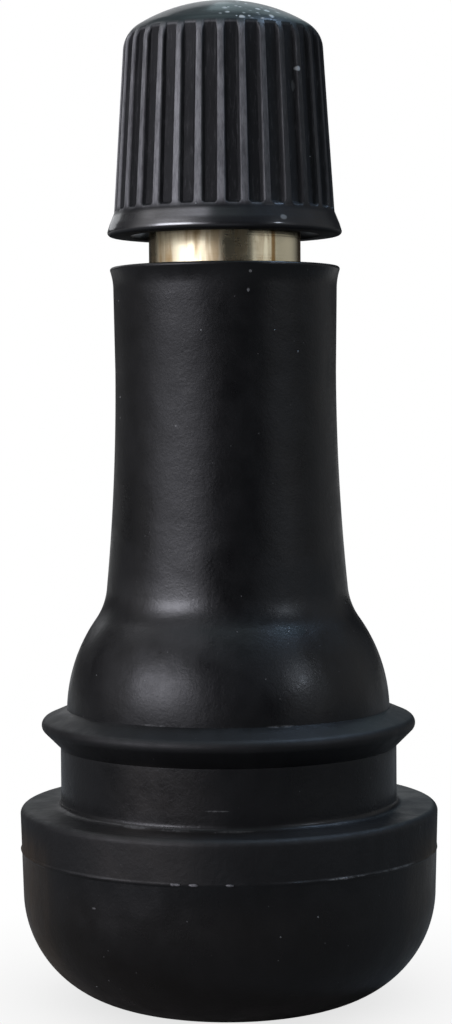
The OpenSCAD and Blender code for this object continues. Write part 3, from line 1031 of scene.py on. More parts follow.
@dataclass(frozen=True)
class PlasticFinish:
    """Black moulded plastic, worn pale on its ridges and glossy on the crown; the pale ridges fade out on the
    right side, so they are partly a painted highlight.
    """

    name: str = "black_plastic"
    dark: Colour = (0.0065, 0.0065, 0.0075)
    crown: Colour = (0.005, 0.009, 0.010)
    # Pale grey of wear, also used as a painted highlight on the ridges of the lit side.
    rubbed_and_painted_light: Colour = (0.2, 0.197, 0.204)
    dust: Colour = (0.34, 0.35, 0.35)
    rim_z: float = 34.6
    foot_z: float = 35.65
    crown_z: float = 43.6
    gloss: float = 0.34
    crown_gloss: float = 0.13
    reach: float = 0.03
    # Pale marks in the colour of dust. The one at 29.5 degrees on the flange is a painted highlight, a dot
    # where a lamp's reflection shows; the others are specks and scuffs.
    marks: tuple[Mark, ...] = (
        Mark(45.5, 41.65, 1.8, 0.13, 1.0), Mark(43.0, 40.9, 1.2, 0.3, 0.15),
        Mark(29.5, 35.1, 2.2, 0.13, 0.35), Mark(-160.0, 39.0, 1.5, 0.2, 0.5),
    )

    def build(self) -> Material:
        """Makes the material.

        Returns:
            The material.
        """
        skin = Skin(self.name, Specular_IOR_Level=0.2, Coat_IOR=2.05)
        graph, height, angle = skin.graph, skin.height, skin.angle
        ridge = Field(graph, graph.node("ShaderNodeAttribute", attribute_name="ridge").outputs["Fac"])
        blotch = skin.blotch(scale=0.6, low=0.35, high=0.7, seed=2.0)
        top = graph.ramp(ridge, 0.55, 0.95)
        crown = graph.ramp(height, self.crown_z - 0.35, self.crown_z + 0.15) * top
        wall = 1.0 - (1.0 - graph.ramp(height, self.foot_z - 0.1, self.foot_z + 0.3)) * top
        wall = wall * (1.0 - crown)
        # Pale ridges kept on the lit left and front and faded out on the right side: wear and painted
        # highlight together.
        worn = top * wall * (0.66 + 0.34 * blotch) * (1.0 - 0.9 * graph.band(angle, 17.0, 140.0, 20.0))
        speck = skin.specks(scale=2.4, size=0.1, cover=0.06)
        speck = graph.math("MAXIMUM", speck, skin.marked(self.marks))
        drops = skin.specks(scale=2.7, size=0.36, cover=0.8)
        dome = graph.ramp(height, self.crown_z, self.crown_z + 0.45)
        drops = drops * crown * graph.band(angle, 0.0, 42.0, 10.0) * graph.ramp(dome, 0.08, 0.3)
        drawn = graph.noise(graph.stretch(skin.place, (1.0, 1.0, 0.16)), 9.0, 3.0, 0.7, 8.0)
        colour = graph.mix(crown, self.dark, self.crown)
        colour = graph.mix(graph.ramp(drawn, 0.5, 0.75) * wall * 0.12, colour, self.rubbed_and_painted_light)
        colour = graph.mix(worn * (0.6 + 0.4 * graph.ramp(drawn, 0.35, 0.6)), colour, self.rubbed_and_painted_light)
        colour = graph.mix(graph.math("MAXIMUM", speck, drops), colour, self.dust)
        skin.feed("Base Color", colour)
        under = graph.ramp(height, self.rim_z + 0.01, self.rim_z + 0.24, 1.0, 0.0)
        rough = self.gloss + 0.1 * blotch + 0.25 * wall * (1.0 - top) + 0.3 * speck + 0.5 * under
        skin.feed("Roughness", rough)
        polish = (0.85 + 0.15 * blotch) * (1.0 - 0.8 * graph.band(angle, 6.0, 150.0, 12.0))
        rim = top * graph.ramp(height, self.foot_z - 0.25, self.foot_z - 0.05, 1.0, 0.0)
        coat = graph.math("MAXIMUM", rim, crown * (0.06 + 0.34 * dome))
        skin.feed("Coat Weight", coat * polish * (1.0 - under))
        softened = (1.0 - crown) * graph.band(angle, -60.0, -4.0, 6.0)
        skin.feed("Coat Roughness", self.crown_gloss + 0.1 * softened)
        grain = skin.grain(fine=8.0, slow=0.9, share=0.3)
        relief = grain * (1.0 - 0.5 * crown) + drawn * wall * 0.4 + (speck + drops) * 0.4
        skin.bump(relief, self.reach)
        return skin.material


@dataclass(frozen=True)
class MetalFinish:
    """Turned metal with tool lines, patches of tarnish, dulled bands along the axis, and darker and paler
    bands along the axis that are painted reflections.
    """

    name: str = "turned_brass"
    bright: Colour = (0.87, 0.79, 0.57)
    tarnish: Colour = (0.4, 0.25, 0.1)
    gloss: float = 0.14
    dull: float = 0.12
    bare_z: float = 35.4
    dulled: tuple[Band, ...] = ()
    # Bands of angle painted darker or paler in the colour: painted reflections.
    painted_reflection_bands: tuple[Band, ...] = ()
    lines: float = 14.0
    reach: float = 0.004

    def banded(self, skin: Skin, bands: tuple[Band, ...]) -> Term:
        """Adds up bands of angle on the bare neck below the cap.

        Args:
            skin: Skin of the piece.
            bands: First angle, last angle, softness and share of each band.

        Returns:
            The sum of the shares.
        """
        bare = skin.graph.ramp(skin.height, self.bare_z - 0.3, self.bare_z + 0.3, 1.0, 0.0)
        total = 0.0
        for low, high, soft, share in bands:
            total = total + share * bare * skin.graph.band(skin.angle, low, high, soft)
        return total

    def build(self) -> Material:
        """Makes the material.

        Returns:
            The material.
        """
        skin = Skin(self.name, Metallic=1.0)
        graph = skin.graph
        blotch = skin.blotch(scale=0.8, low=0.38, high=0.75, seed=6.0)
        stain = skin.blotch(scale=1.1, low=0.45, high=0.62, seed=13.0, way=(1.0, 1.0, 0.12))
        lines = TurningLines().place(graph, place=skin.place, scale=self.lines)["Height"]
        speck = skin.specks(scale=3.0, size=0.1, cover=0.08)
        shade_share = blotch * 0.35 + stain * 0.6 + graph.ramp(lines, 0.5, 0.8) * 0.15 + speck * 0.5
        # Bands of angle on the bare neck that darken or lighten its colour: painted reflections of dark and
        # bright surroundings.
        shade_share = shade_share + self.banded(skin, self.painted_reflection_bands)
        skin.feed("Base Color", graph.mix(shade_share, self.bright, self.tarnish))
        rough = self.gloss + self.dull * blotch + 0.12 * stain + 0.06 * lines
        skin.feed("Roughness", rough + self.banded(skin, self.dulled))
        skin.bump(lines, self.reach)
        return skin.material


@dataclass(frozen=True)
class SoftFinish:
    """Soft plain rubber in two cloudy tones, with a little dust."""

    name: str = "seal_rubber"
    tone: Colour = (0.014, 0.013, 0.013)
    patch: Colour = (0.032, 0.03, 0.029)
    dust: Colour = (0.3, 0.3, 0.29)
    dust_share: float = 0.3
    shine: float = 0.35
    cloud_scale: float = 1.2
    cloud_span: Point = (0.35, 0.7)
    cloud_seed: float = 9.0
    gloss: float = 0.55
    gloss_spread: float = 0.15
    grain: Size = (10.0, 1.5, 0.5)
    reach: float = 0.012

    def build(self) -> Material:
        """Makes the material.

        Returns:
            The material.
        """
        skin = Skin(self.name, Specular_IOR_Level=self.shine)
        blotch = skin.blotch(self.cloud_scale, *self.cloud_span, self.cloud_seed)
        speck = skin.specks(scale=3.5, size=0.1, cover=0.08)
        colour = skin.graph.mix(blotch, self.tone, self.patch)
        skin.feed("Base Color", skin.graph.mix(speck * self.dust_share, colour, self.dust))
        skin.feed("Roughness", self.gloss + self.gloss_spread * blotch)
        skin.bump(skin.grain(*self.grain), self.reach)
        return skin.material


# Torn rubber is paler than the moulded skin.
TORN_RUBBER = SoftFinish(name="torn_rubber", tone=(0.13, 0.123, 0.13), patch=(0.05, 0.05, 0.052),
                         dust_share=0.0, shine=0.4, cloud_scale=6.0, cloud_span=(0.4, 0.65), cloud_seed=3.0,
                         gloss=0.5, gloss_spread=0.2, grain=(16.0, 5.0, 0.5), reach=0.02)


@dataclass(frozen=True)
class RubberBody:
    """The moulded rubber, from the flat bottom to the flared lip."""

    base_r: float = 9.5
    base_h: float = 8.85
    base_draft: float = 0.1
    base_round: float = 5.0
    seat_round: float = 0.3
    groove_r: float = 7.65
    groove_h: float = 2.7
    groove_fillet: float = 0.3
    bead_proud: float = 0.85
    bead_tip_r: float = 0.35
    bead_fall: float = 23.0
    bell_r: float = 7.35
    bell_rise: float = 1.5
    bell_fillet: float = 2.9
    waist_r: float = 5.0
    waist_z: float = 28.5
    stem_spread: float = 1.2
    lip_foot_r: float = 5.055
    lip_r: float = 5.195
    lip_h: float = 1.0
    lip_round: float = 0.12
    top_z: float = 33.2
    hole_r: float = 3.0
    foot_r: float = 4.5
    foot_z: float = 0.6
    foot_top: float = 1.8
    neck_r: float = 3.43
    line_z: float = 6.93
    line_proud: float = 0.055
    line_half: float = 0.09
    line_span: float = 0.3
    line_seed: float = 2.0
    torn_turn: float = -2.0
    torn_reach: float = 14.0
    nibs: tuple[float, ...] = (-14.4, -13.6, -9.6, -9.1, 0.0, 31.0, 118.0, 151.0, -128.0)
    nib_size: float = 0.1
    nib_seed: int = 11
    nib_proud: float = 0.02
    segments: int = 256

    def bell_part(self, path: Outline) -> None:
        """Adds the bell, the hollow above it and the sweep of the stem up to the waist.

        Args:
            path: Section that ends in the foot of the groove.
        """
        top = self.base_h + self.groove_h
        bell = Vector((0.0, top + self.bell_rise))
        run = self.bead_proud - self.bead_tip_r
        tip = Vector((self.groove_r + run, top + run + self.bead_tip_r * math.sqrt(2)))
        fall = math.radians(self.bead_fall)
        path.line(self.groove_r, top, step=0.15)
        path.arc(tip, self.bead_tip_r, -45.0, 90.0 - self.bead_fall, 14)
        end = tip + self.bead_tip_r * Vector((math.sin(fall), math.cos(fall))) - bell
        way = Vector((-math.cos(fall), math.sin(fall)))
        foot = end + way * (-end.dot(way) - math.sqrt(end.dot(way) ** 2 - end.dot(end) + self.bell_r ** 2))
        height = self.waist_z - bell.y
        sweep_r = (height ** 2 + self.stem_spread ** 2) / (2 * self.stem_spread)
        sweep = Vector((self.waist_r + sweep_r, self.waist_z))
        hollow = self.meet(bell, self.bell_r + self.bell_fillet, sweep, sweep_r - self.bell_fillet)
        low = math.degrees(math.atan2(foot.y, foot.x))
        high = math.degrees(math.atan2(hollow.y - bell.y, hollow.x))
        turn = math.degrees(math.atan2(sweep.y - hollow.y, sweep.x - hollow.x))
        path.line(foot.x, bell.y + foot.y, step=0.15)
        path.arc(bell, self.bell_r, low, high, 32)
        path.arc(hollow, self.bell_fillet, 180.0 + high, 180.0 + turn, 16)
        path.arc(sweep, sweep_r, 180.0 + turn, 180.0, 24)

    @staticmethod
    def meet(p: Vector, r: float, q: Vector, s: float) -> Vector:
        """Finds where two circles meet.

        Args:
            p: Centre of the first circle.
            r: Radius of the first circle.
            q: Centre of the second circle.
            s: Radius of the second circle.

        Returns:
            The upper one of the two points.
        """
        gap = q - p
        along = (gap.length_squared + r * r - s * s) / (2 * gap.length)
        u = gap.normalized()
        return p + along * u + math.sqrt(r * r - along * along) * Vector((-u.y, u.x))

    def section(self) -> Outline:
        """Section of the rubber.

        Returns:
            The closed outline.
        """
        low_r = self.base_r - self.base_draft
        path = Outline(self.hole_r, self.foot_z).line(self.hole_r, 0.0, step=0.15)
        path.line(low_r - self.base_round, 0.0, step=0.4)
        path.arc((low_r - self.base_round, self.base_round), self.base_round, -90.0, 0.0, 36)
        below, above = self.line_z - self.line_span, self.line_z + self.line_span
        path.line(self.wall_r(below), below, step=0.2)
        path.line(self.wall_r(above), above, step=0.03)
        path.line(self.base_r, self.base_h - self.seat_round, step=0.2)
        centre = (self.base_r - self.seat_round, self.base_h - self.seat_round)
        path.arc(centre, self.seat_round, 0.0, 90.0, 10)
        path.line(self.groove_r + self.groove_fillet, self.base_h, step=0.25)
        centre = (self.groove_r + self.groove_fillet, self.base_h + self.groove_fillet)
        path.arc(centre, self.groove_fillet, 270.0, 180.0, 8)
        self.bell_part(path)
        flare_d = self.lip_r - self.lip_foot_r
        flare_h = self.lip_h - self.lip_round
        flare_r = flare_h ** 2 / (2 * flare_d) - self.lip_round + flare_d / 2
        flare = math.degrees(math.atan2(flare_h, flare_r + self.lip_round - flare_d))
        path.line(self.lip_foot_r, self.top_z - self.lip_h, step=0.3)
        centre = (self.lip_foot_r + flare_r, self.top_z - self.lip_h)
        path.arc(centre, flare_r, 180.0, 180.0 - flare, 12)
        centre = (self.lip_r - self.lip_round, self.top_z - self.lip_round)
        path.arc(centre, self.lip_round, -flare, 90.0, 8)
        path.line(self.neck_r, self.top_z, step=0.25)
        path.line(self.neck_r, self.foot_top).line(self.foot_r, self.foot_top)
        return path.line(self.foot_r, self.foot_z)

    def wall_r(self, height: float) -> float:
        """Radius of the base wall at a height."""
        share = (height - self.base_round) / (self.base_h - self.seat_round - self.base_round)
        return self.base_r - self.base_draft * (1.0 - share)

    def build(self) -> None:
        """Builds the rubber with its mould line, and the nibs left where the flash tore."""
        material = RubberFinish().build()
        piece = self.section().lathe("rubber_moulding", self.segments)
        MouldLine().apply(piece, material, level=self.line_z, half=self.line_half, proud=self.line_proud,
                          inner=self.base_r - self.line_span, torn=math.radians(self.torn_turn - 90.0),
                          reach=math.radians(self.torn_reach), seed=self.line_seed)
        shade(piece, MOULDED_SHARP)
        dress(piece, material, Slot.RUBBER, Body.VALVE, "rubber_body")
        radius = self.wall_r(self.line_z) + self.nib_proud
        height = self.line_z + self.nib_proud
        turns = [math.radians(turn - 90.0) for turn in self.nibs]
        spots = [(radius * math.cos(a) * MM, radius * math.sin(a) * MM, height * MM) for a in turns]
        nibs = placed("flash_nibs", bpy.data.meshes.new("flash_nibs"))
        nibs.data.from_pydata(spots, [], [])
        torn = TORN_RUBBER.build()
        FlashNibs().apply(nibs, torn, size=self.nib_size, seed=self.nib_seed)
        shade(nibs, NIB_SHARP)
        dress(nibs, torn, Slot.RUBBER, Body.VALVE)


@dataclass(frozen=True)
class Thread:
    """Sizes of one thread, which cuts itself into a wall."""

    pitch: float
    depth: float
    step: float = 0.05

    def cut(self, piece: Piece, material: Material, crest: float, span: Point,
            wall: Point, fade: float) -> None:
        """Cuts the thread into the points of a wall, between two heights and between two radii."""
        ScrewThread().apply(piece, material, crest=crest, depth=self.depth, pitch=self.pitch, low=span[0],
                            high=span[1], fade=fade, inner=wall[0], outer=wall[1])


CAP_THREAD = Thread(pitch=0.79375, depth=0.4)
CORE_THREAD = Thread(pitch=0.70556, depth=0.3)


@dataclass(frozen=True)
class BrassStem:
    """The turned stem with its cap thread outside and its stepped bore."""

    foot_r: float = 4.5
    foot_z: float = 0.6
    foot_top: float = 1.8
    neck_r: float = 3.43
    thread_r: float = 3.85
    thread_z: float = 34.9
    mouth_z: float = 42.5
    thread_chamfer: float = 0.4
    mouth_chamfer: float = 0.3
    air_r: float = 1.6
    air_chamfer: float = 0.4
    tail_bore_r: float = 1.95
    tail_bore_z: float = 22.79
    gasket_bore_r: float = 2.25
    seat_z: float = 33.27
    seat_h: float = 1.0
    core_bore_r: float = 2.6
    core_bore_z: float = 36.84
    grip_count: int = 5
    grip_pitch: float = 1.8
    grip_rise: float = 2.2
    grip_r: float = 0.5
    grip_depth: float = 0.35
    thread_top: float = 42.6
    thread_wall: Point = (3.2, 3.95)
    thread_run: float = 0.05
    bore_wall: Point = (2.45, 2.65)
    bore_run: float = 0.35
    foot_edge: float = 0.1
    segments: int = 144
    dulled: tuple[Band, ...] = ((-62.0, -3.0, 5.0, 0.23), (19.0, 36.0, 3.0, -0.09))
    # Painted reflections on the bare neck: first angle, last angle, softness and share of tarnish colour,
    # below 0 for paler.
    painted_reflection_bands: tuple[Band, ...] = (
        (-96.0, -64.0, 5.0, 0.5), (19.0, 36.0, 3.0, -0.35), (36.9, 40.4, 0.9, 0.9),
        (42.0, 70.0, 3.0, -0.25), (73.0, 96.0, 4.0, 0.8),
    )

    def section(self) -> Outline:
        """Section of the stem.

        Returns:
            The closed outline.
        """
        path = Outline(self.air_r + self.air_chamfer, self.foot_z)
        path.line(self.foot_r - self.foot_edge, self.foot_z, step=0.4)
        path.line(self.foot_r, self.foot_z + self.foot_edge)
        path.line(self.foot_r, self.foot_top).line(self.neck_r, self.foot_top)
        half = math.degrees(math.acos((self.grip_r - self.grip_depth) / self.grip_r))
        for i in range(self.grip_count):
            height = self.foot_top + self.grip_rise + i * self.grip_pitch
            centre = (self.neck_r + self.grip_r - self.grip_depth, height)
            path.arc(centre, self.grip_r, 180.0 + half, 180.0 - half, 8)
        path.line(self.neck_r, self.thread_z, step=1.0)
        rise = self.thread_r - self.neck_r
        path.line(self.thread_r, self.thread_z + rise, step=CAP_THREAD.step)
        path.line(self.thread_r, self.mouth_z - self.thread_chamfer, step=CAP_THREAD.step)
        path.line(self.thread_r - self.thread_chamfer, self.mouth_z, step=CAP_THREAD.step)
        path.line(self.core_bore_r + self.mouth_chamfer, self.mouth_z, step=0.2)
        path.line(self.core_bore_r, self.mouth_z - self.mouth_chamfer, step=0.1)
        path.line(self.core_bore_r, self.core_bore_z, step=CORE_THREAD.step)
        path.line(self.gasket_bore_r, self.core_bore_z - (self.core_bore_r - self.gasket_bore_r))
        path.line(self.gasket_bore_r, self.seat_z + self.seat_h)
        path.line(self.tail_bore_r, self.seat_z).line(self.tail_bore_r, self.tail_bore_z)
        path.line(self.air_r, self.tail_bore_z - (self.tail_bore_r - self.air_r))
        return path.line(self.air_r, self.foot_z + self.air_chamfer)

    def build(self) -> None:
        """Builds the stem and cuts its two threads."""
        material = MetalFinish(dulled=self.dulled, painted_reflection_bands=self.painted_reflection_bands).build()
        piece = self.section().lathe("turned_stem", self.segments)
        span = (self.thread_z, self.thread_top)
        CAP_THREAD.cut(piece, material, self.thread_r, span, self.thread_wall, self.thread_run)
        span = (self.core_bore_z, self.mouth_z)
        CORE_THREAD.cut(piece, material, self.core_bore_r, span, self.bore_wall, self.bore_run)
        shade(piece, TURNED_SHARP)
        dress(piece, material, Slot.STEM, Body.VALVE, "brass_stem")


@dataclass(frozen=True)
class ValveCap:
    """The fluted screw cap and the flat seal in its roof."""

    rim_z: float = 34.6
    rim_r: float = 5.3
    rim_round: float = 0.18
    rim_h: float = 0.55
    rim_draft: float = 0.1
    rim_edge: Point = (0.04, 0.03)
    wall_r: float = 4.98
    wall_z: float = 35.65
    taper: float = 3.67
    crown_r: float = 1.32
    crown_z: float = 45.09
    dome_start: float = 58.6
    bore_r: float = 3.95
    bore_step: float = 0.11
    lead: float = 0.35
    roof_z: float = 43.3
    flutes: int = 30
    flute_floor: float = 0.5
    flute_mouth: float = 0.74
    flute_depth: float = 0.22
    flute_turn: float = -1.5
    flute_fade: float = 0.2
    flute_inner_r: float = 4.05
    ridge_soft: float = 0.05
    seal_r: float = 3.7
    seal_hole_r: float = 1.6
    seal_round: float = 0.12
    mouth_z: float = 42.5
    thread_top: float = 42.2
    thread_wall: Point = (3.85, 3.96)
    thread_run: float = 0.4
    segments: int = 600
    seal_segments: int = 96

    def section(self) -> Outline:
        """Section of the cap without its flutes.

        Returns:
            The outline from the roof of the bore to the top of the dome.
        """
        taper = math.radians(self.taper)
        start = math.radians(self.dome_start)
        share = (1 - math.sin(start)) / math.cos(start)
        reach = self.wall_r + math.tan(taper) * self.wall_z - self.crown_r / math.cos(taper)
        level = (self.crown_z - self.crown_r - share * reach) / (1 - share * math.tan(taper))
        shoulder = Vector((reach - math.tan(taper) * level, level))
        dome_r = shoulder.x / math.cos(start) + self.crown_r
        edge = shoulder + self.crown_r * Vector((math.cos(taper), math.sin(taper)))
        path = Outline(0.0, self.roof_z).line(self.bore_r, self.roof_z, step=0.8)
        path.line(self.bore_r, self.rim_z + self.lead, step=self.bore_step)
        path.line(self.bore_r + self.lead, self.rim_z, step=0.12)
        centre = (self.rim_r - self.rim_round, self.rim_z + self.rim_round)
        path.arc(centre, self.rim_round, -90.0, 0.0, 6)
        below, above = self.rim_edge
        path.line(self.rim_r - self.rim_draft, self.rim_z + self.rim_h - below, step=0.15)
        path.line(self.rim_r - self.rim_draft - above, self.rim_z + self.rim_h + above)
        path.line(self.wall_r, self.wall_z, step=0.12)
        path.line(self.wall_r - math.tan(taper) * self.flute_fade, self.wall_z + self.flute_fade, step=0.04)
        path.line(edge.x, edge.y, step=0.6)
        path.arc(shoulder, self.crown_r, self.taper, self.dome_start, 26)
        return path.arc((0.0, self.crown_z - dome_r), dome_r, self.dome_start, 90.0, 16)

    def build(self) -> None:
        """Builds the cap with its flutes and thread, and the seal."""
        material = PlasticFinish().build()
        piece = self.section().lathe("fluted_cap", self.segments)
        CapFlutes().apply(piece, material, count=float(self.flutes), floor=self.flute_floor,
                          turn=math.radians(self.flute_turn - 90.0 + 180.0 / self.flutes),
                          mouth=self.flute_mouth, depth=self.flute_depth, wall=self.wall_r, foot=self.wall_z,
                          slope=math.tan(math.radians(self.taper)), fade=self.flute_fade,
                          soft=self.ridge_soft, inner=self.flute_inner_r)
        span = (self.rim_z + self.lead, self.thread_top)
        CAP_THREAD.cut(piece, material, self.bore_r, span, self.thread_wall, self.thread_run)
        shade(piece, CAP_SHARP)
        dress(piece, material, Slot.PLASTIC, Body.CAP, "valve_cap")
        corners = ((self.seal_hole_r, self.mouth_z), (self.seal_r, self.mouth_z), (self.seal_r, self.roof_z),
                   (self.seal_hole_r, self.roof_z))
        ring = [(*corner, self.seal_round) for corner in corners]
        seal = Outline.rounded(ring, 5).lathe("cap_seal_ring", self.seal_segments)
        dress(seal, SoftFinish().build(), Slot.SEAL, Body.SEAL, "cap_seal")


@dataclass(frozen=True)
class ValveCore:
    """The screwed core: plug, barrel, gasket, spring and the plunger that rides on its pin."""

    plug_r: float = 2.55
    plug_top: float = 41.0
    bridge_z: float = 40.0
    plug_z: float = 36.9
    chamfer: float = 0.2
    bridge_r: float = 2.3
    bridge_w: float = 2.3
    pin_hole_r: float = 0.85
    spigot_r: float = 1.3
    swage_r: float = 1.52
    swage_top: float = 36.23
    swage_z: float = 35.73
    swivel: float = 0.06
    collar_r: float = 2.0
    barrel_top: float = 36.84
    crimp_h: float = 0.55
    land_r: float = 1.55
    land_top: float = 35.04
    land_z: float = 33.24
    shoulder_r: float = 1.75
    tail_top: float = 32.84
    tail_r: float = 1.5
    barrel_z: float = 27.04
    rim_bevel: float = 0.2
    ledge_z: float = 28.04
    ledge_r: float = 0.8
    spring_bore_r: float = 1.15
    gasket_low_r: float = 1.92
    gasket_r: float = 2.22
    gasket_bend: float = 33.27
    gasket_full: float = 34.27
    pin_r: float = 0.6
    head_r: float = 0.7
    pin_top: float = 42.3
    head_h: float = 0.6
    flange_r: float = 1.0
    flange_z: float = 35.03
    flange_top: float = 35.43
    rivet_r: float = 0.85
    rivet_z: float = 25.19
    cup_z: float = 25.49
    cup_floor: float = 25.74
    cup_r: float = 1.6
    cup_h: float = 1.2
    washer_r: float = 1.35
    wire: float = 0.24
    coil_r: float = 0.91
    turns: float = 9.0
    coil_steps: int = 28
    travel: float = 1.2
    thread_span: Point = (36.8, 40.1)
    thread_wall: Point = (1.8, 2.65)
    thread_run: float = 0.05
    swage_edge: Point = (0.08, 0.12)
    hole_edge: float = 0.06
    flange_edge: float = 0.05
    flange_bevel: float = 0.1
    head_edge: Point = (0.03, 0.05)
    bridge_sink: float = 0.15
    bridge_edge: float = 0.07
    bridge_steps: int = 12
    rivet_round: float = 0.25
    head_round: float = 0.15
    plug_segments: int = 128
    pin_segments: int = 64
    segments: int = 80

    def plug(self, material: Material) -> None:
        """Builds the threaded plug with its swaged spigot and the bridge across its top.

        Args:
            material: Brass of the plug.
        """
        path = Outline(self.pin_hole_r, self.swage_z)
        path.line(self.swage_r - self.swage_edge[0], self.swage_z)
        path.line(self.swage_r, self.swage_z + self.swage_edge[1])
        path.line(self.swage_r, self.swage_top).line(self.spigot_r, self.swage_top)
        path.line(self.spigot_r, self.plug_z)
        path.line(self.plug_r - self.chamfer, self.plug_z, step=0.2)
        path.line(self.plug_r, self.plug_z + self.chamfer, step=CORE_THREAD.step)
        path.line(self.plug_r, self.bridge_z - self.chamfer, step=CORE_THREAD.step)
        path.line(self.plug_r - self.chamfer, self.bridge_z, step=CORE_THREAD.step)
        path.line(self.pin_hole_r + self.hole_edge, self.bridge_z, step=0.3)
        path.line(self.pin_hole_r, self.bridge_z - self.hole_edge)
        body = path.lathe("threaded_plug", self.plug_segments)
        CORE_THREAD.cut(body, material, self.plug_r, self.thread_span, self.thread_wall, self.thread_run)
        both = [body, self.bridge()]
        with bpy.context.temp_override(active_object=body, object=body, selected_editable_objects=both):
            bpy.ops.object.join()
        shade(body, TURNED_SHARP)
        dress(body, material, Slot.CORE, Body.VALVE, "core_plug")

    def bridge(self) -> Piece:
        """Builds the bridge: a bar with two flats, round ends and the hole for the pin.

        Returns:
            The bridge.
        """
        half = self.bridge_w / 2
        corner = math.asin(half / self.bridge_r)
        rim: list[Point] = []
        count = self.bridge_steps
        for side in (0.0, math.pi):
            for i in range(count + 1):
                a = side - corner + 2 * corner * i / count
                rim.append((self.bridge_r * math.cos(a), self.bridge_r * math.sin(a)))
            for i in range(1, count):
                share = i / count
                x = self.bridge_r * math.cos(side + corner) * (1 - 2 * share)
                rim.append((x, self.bridge_r * math.sin(side + corner)))
        hole = [tuple(self.pin_hole_r * part / math.hypot(*spot) for part in spot) for spot in rim]
        low, high, edge = self.bridge_z - self.bridge_sink, self.plug_top, self.bridge_edge
        rings = [(hole, low, 0.0), (rim, low, 0.0), (rim, high - edge, 0.0), (rim, high, edge),
                 (hole, high, -edge), (hole, high - edge, 0.0)]
        spots = []
        for loop, height, inset in rings:
            for x, y in loop:
                shrink = 1.0 - inset / math.hypot(x, y)
                spots.append((x * shrink * MM, y * shrink * MM, height * MM))
        size = len(rim)
        faces = []
        for k in range(len(rings)):
            a, b = k * size, (k + 1) % len(rings) * size
            for i in range(size):
                n = (i + 1) % size
                faces.append((a + i, a + n, b + n, b + i))
        return piece_from("plug_bridge", spots, faces, TURNED_SHARP)

    def barrel(self, material: Material) -> None:
        """Builds the barrel that swivels on the plug.

        Args:
            material: Brass of the barrel.
        """
        inner = self.spigot_r + self.swivel
        pocket = self.swage_r + self.swivel
        corners = [
            (self.ledge_r, self.barrel_z, 0.05), (self.tail_r - self.rim_bevel, self.barrel_z, 0.06),
            (self.tail_r, self.barrel_z + self.rim_bevel, 0.04), (self.tail_r, self.tail_top, 0.05),
            (self.shoulder_r, self.tail_top, 0.08), (self.shoulder_r, self.land_z, 0.08),
            (self.land_r, self.land_z, 0.05), (self.land_r, self.land_top, 0.05),
            (self.collar_r, self.land_top, 0.08), (self.collar_r, self.barrel_top, 0.25),
            (inner, self.barrel_top, 0.05), (inner, self.barrel_top - self.crimp_h, 0.05),
            (pocket, self.barrel_top - self.crimp_h, 0.05), (pocket, self.swage_z - self.swivel, 0.05),
            (self.spring_bore_r, self.swage_z - self.swivel, 0.05), (self.spring_bore_r, self.ledge_z, 0.03),
            (self.ledge_r, self.ledge_z, 0.05)]
        sleeve = Outline.rounded(corners).lathe("barrel_sleeve", self.segments)
        dress(sleeve, material, Slot.CORE, Body.VALVE, "core_barrel")

    def seals(self, gasket: Material, washer: Material) -> None:
        """Builds the gasket of the barrel and the washer of the plunger.

        Args:
            gasket: Red sealing rubber.
            washer: Black sealing rubber.
        """
        corners = [
            (self.land_r, self.land_z, 0.08), (self.gasket_low_r, self.land_z, 0.015),
            (self.gasket_low_r, self.gasket_bend, 0.01), (self.gasket_r, self.gasket_full, 0.15),
            (self.gasket_r, self.land_top, 0.15), (self.land_r, self.land_top, 0.08)]
        ring = Outline.rounded(corners, 5).lathe("gasket_ring", self.segments)
        dress(ring, gasket, Slot.GASKET, Body.VALVE, "barrel_gasket")
        corners = [
            (self.pin_r, self.cup_floor, 0.05), (self.washer_r, self.cup_floor, 0.05),
            (self.washer_r, self.barrel_z, 0.12), (self.pin_r, self.barrel_z, 0.08)]
        ring = Outline.rounded(corners, 5).lathe("washer_ring", self.segments)
        dress(ring, washer, Slot.SEAL, Body.PLUNGER, "seat_washer")

    def plunger(self, brass: Material, steel: Material) -> None:
        """Builds the pin with its rivet, flange and head, and the cup.

        Args:
            brass: Brass of the cup.
            steel: Plated steel of the pin.
        """
        head = self.pin_top - self.head_h
        centre = (self.rivet_r - self.rivet_round, self.rivet_z + self.rivet_round)
        path = Outline(0.0, self.rivet_z).line(centre[0], self.rivet_z)
        path.arc(centre, self.rivet_round, -90.0, 0.0, 6)
        path.line(self.rivet_r, self.cup_z).line(self.pin_r, self.cup_z)
        path.line(self.pin_r, self.flange_z, step=1.0)
        path.line(self.flange_r - self.flange_edge, self.flange_z)
        path.line(self.flange_r, self.flange_z + self.flange_edge)
        path.line(self.flange_r, self.flange_top - self.flange_bevel)
        path.line(self.flange_r - self.flange_bevel, self.flange_top)
        inset, rise = self.head_edge
        path.line(self.pin_r, self.flange_top).line(self.pin_r, head - rise, step=1.0)
        path.line(self.head_r - inset, head).line(self.head_r, head + rise)
        centre = (self.head_r - self.head_round, self.pin_top - self.head_round)
        path.arc(centre, self.head_round, 0.0, 80.0, 6).line(0.0, self.pin_top)
        pin = path.lathe("plunger_pin", self.pin_segments)
        dress(pin, steel, Slot.STEEL, Body.PLUNGER, "core_pin")
        cup_top = self.cup_z + self.cup_h
        corners = [
            (self.pin_r, self.cup_z, 0.03), (self.cup_r, self.cup_z, 0.3), (self.cup_r, cup_top, 0.1),
            (self.washer_r, cup_top, 0.1), (self.washer_r, self.cup_floor, 0.05),
            (self.pin_r, self.cup_floor, 0.03)]
        cup = Outline.rounded(corners, 6).lathe("cup_shell", self.segments)
        dress(cup, brass, Slot.CORE, Body.PLUNGER, "plunger_cup")

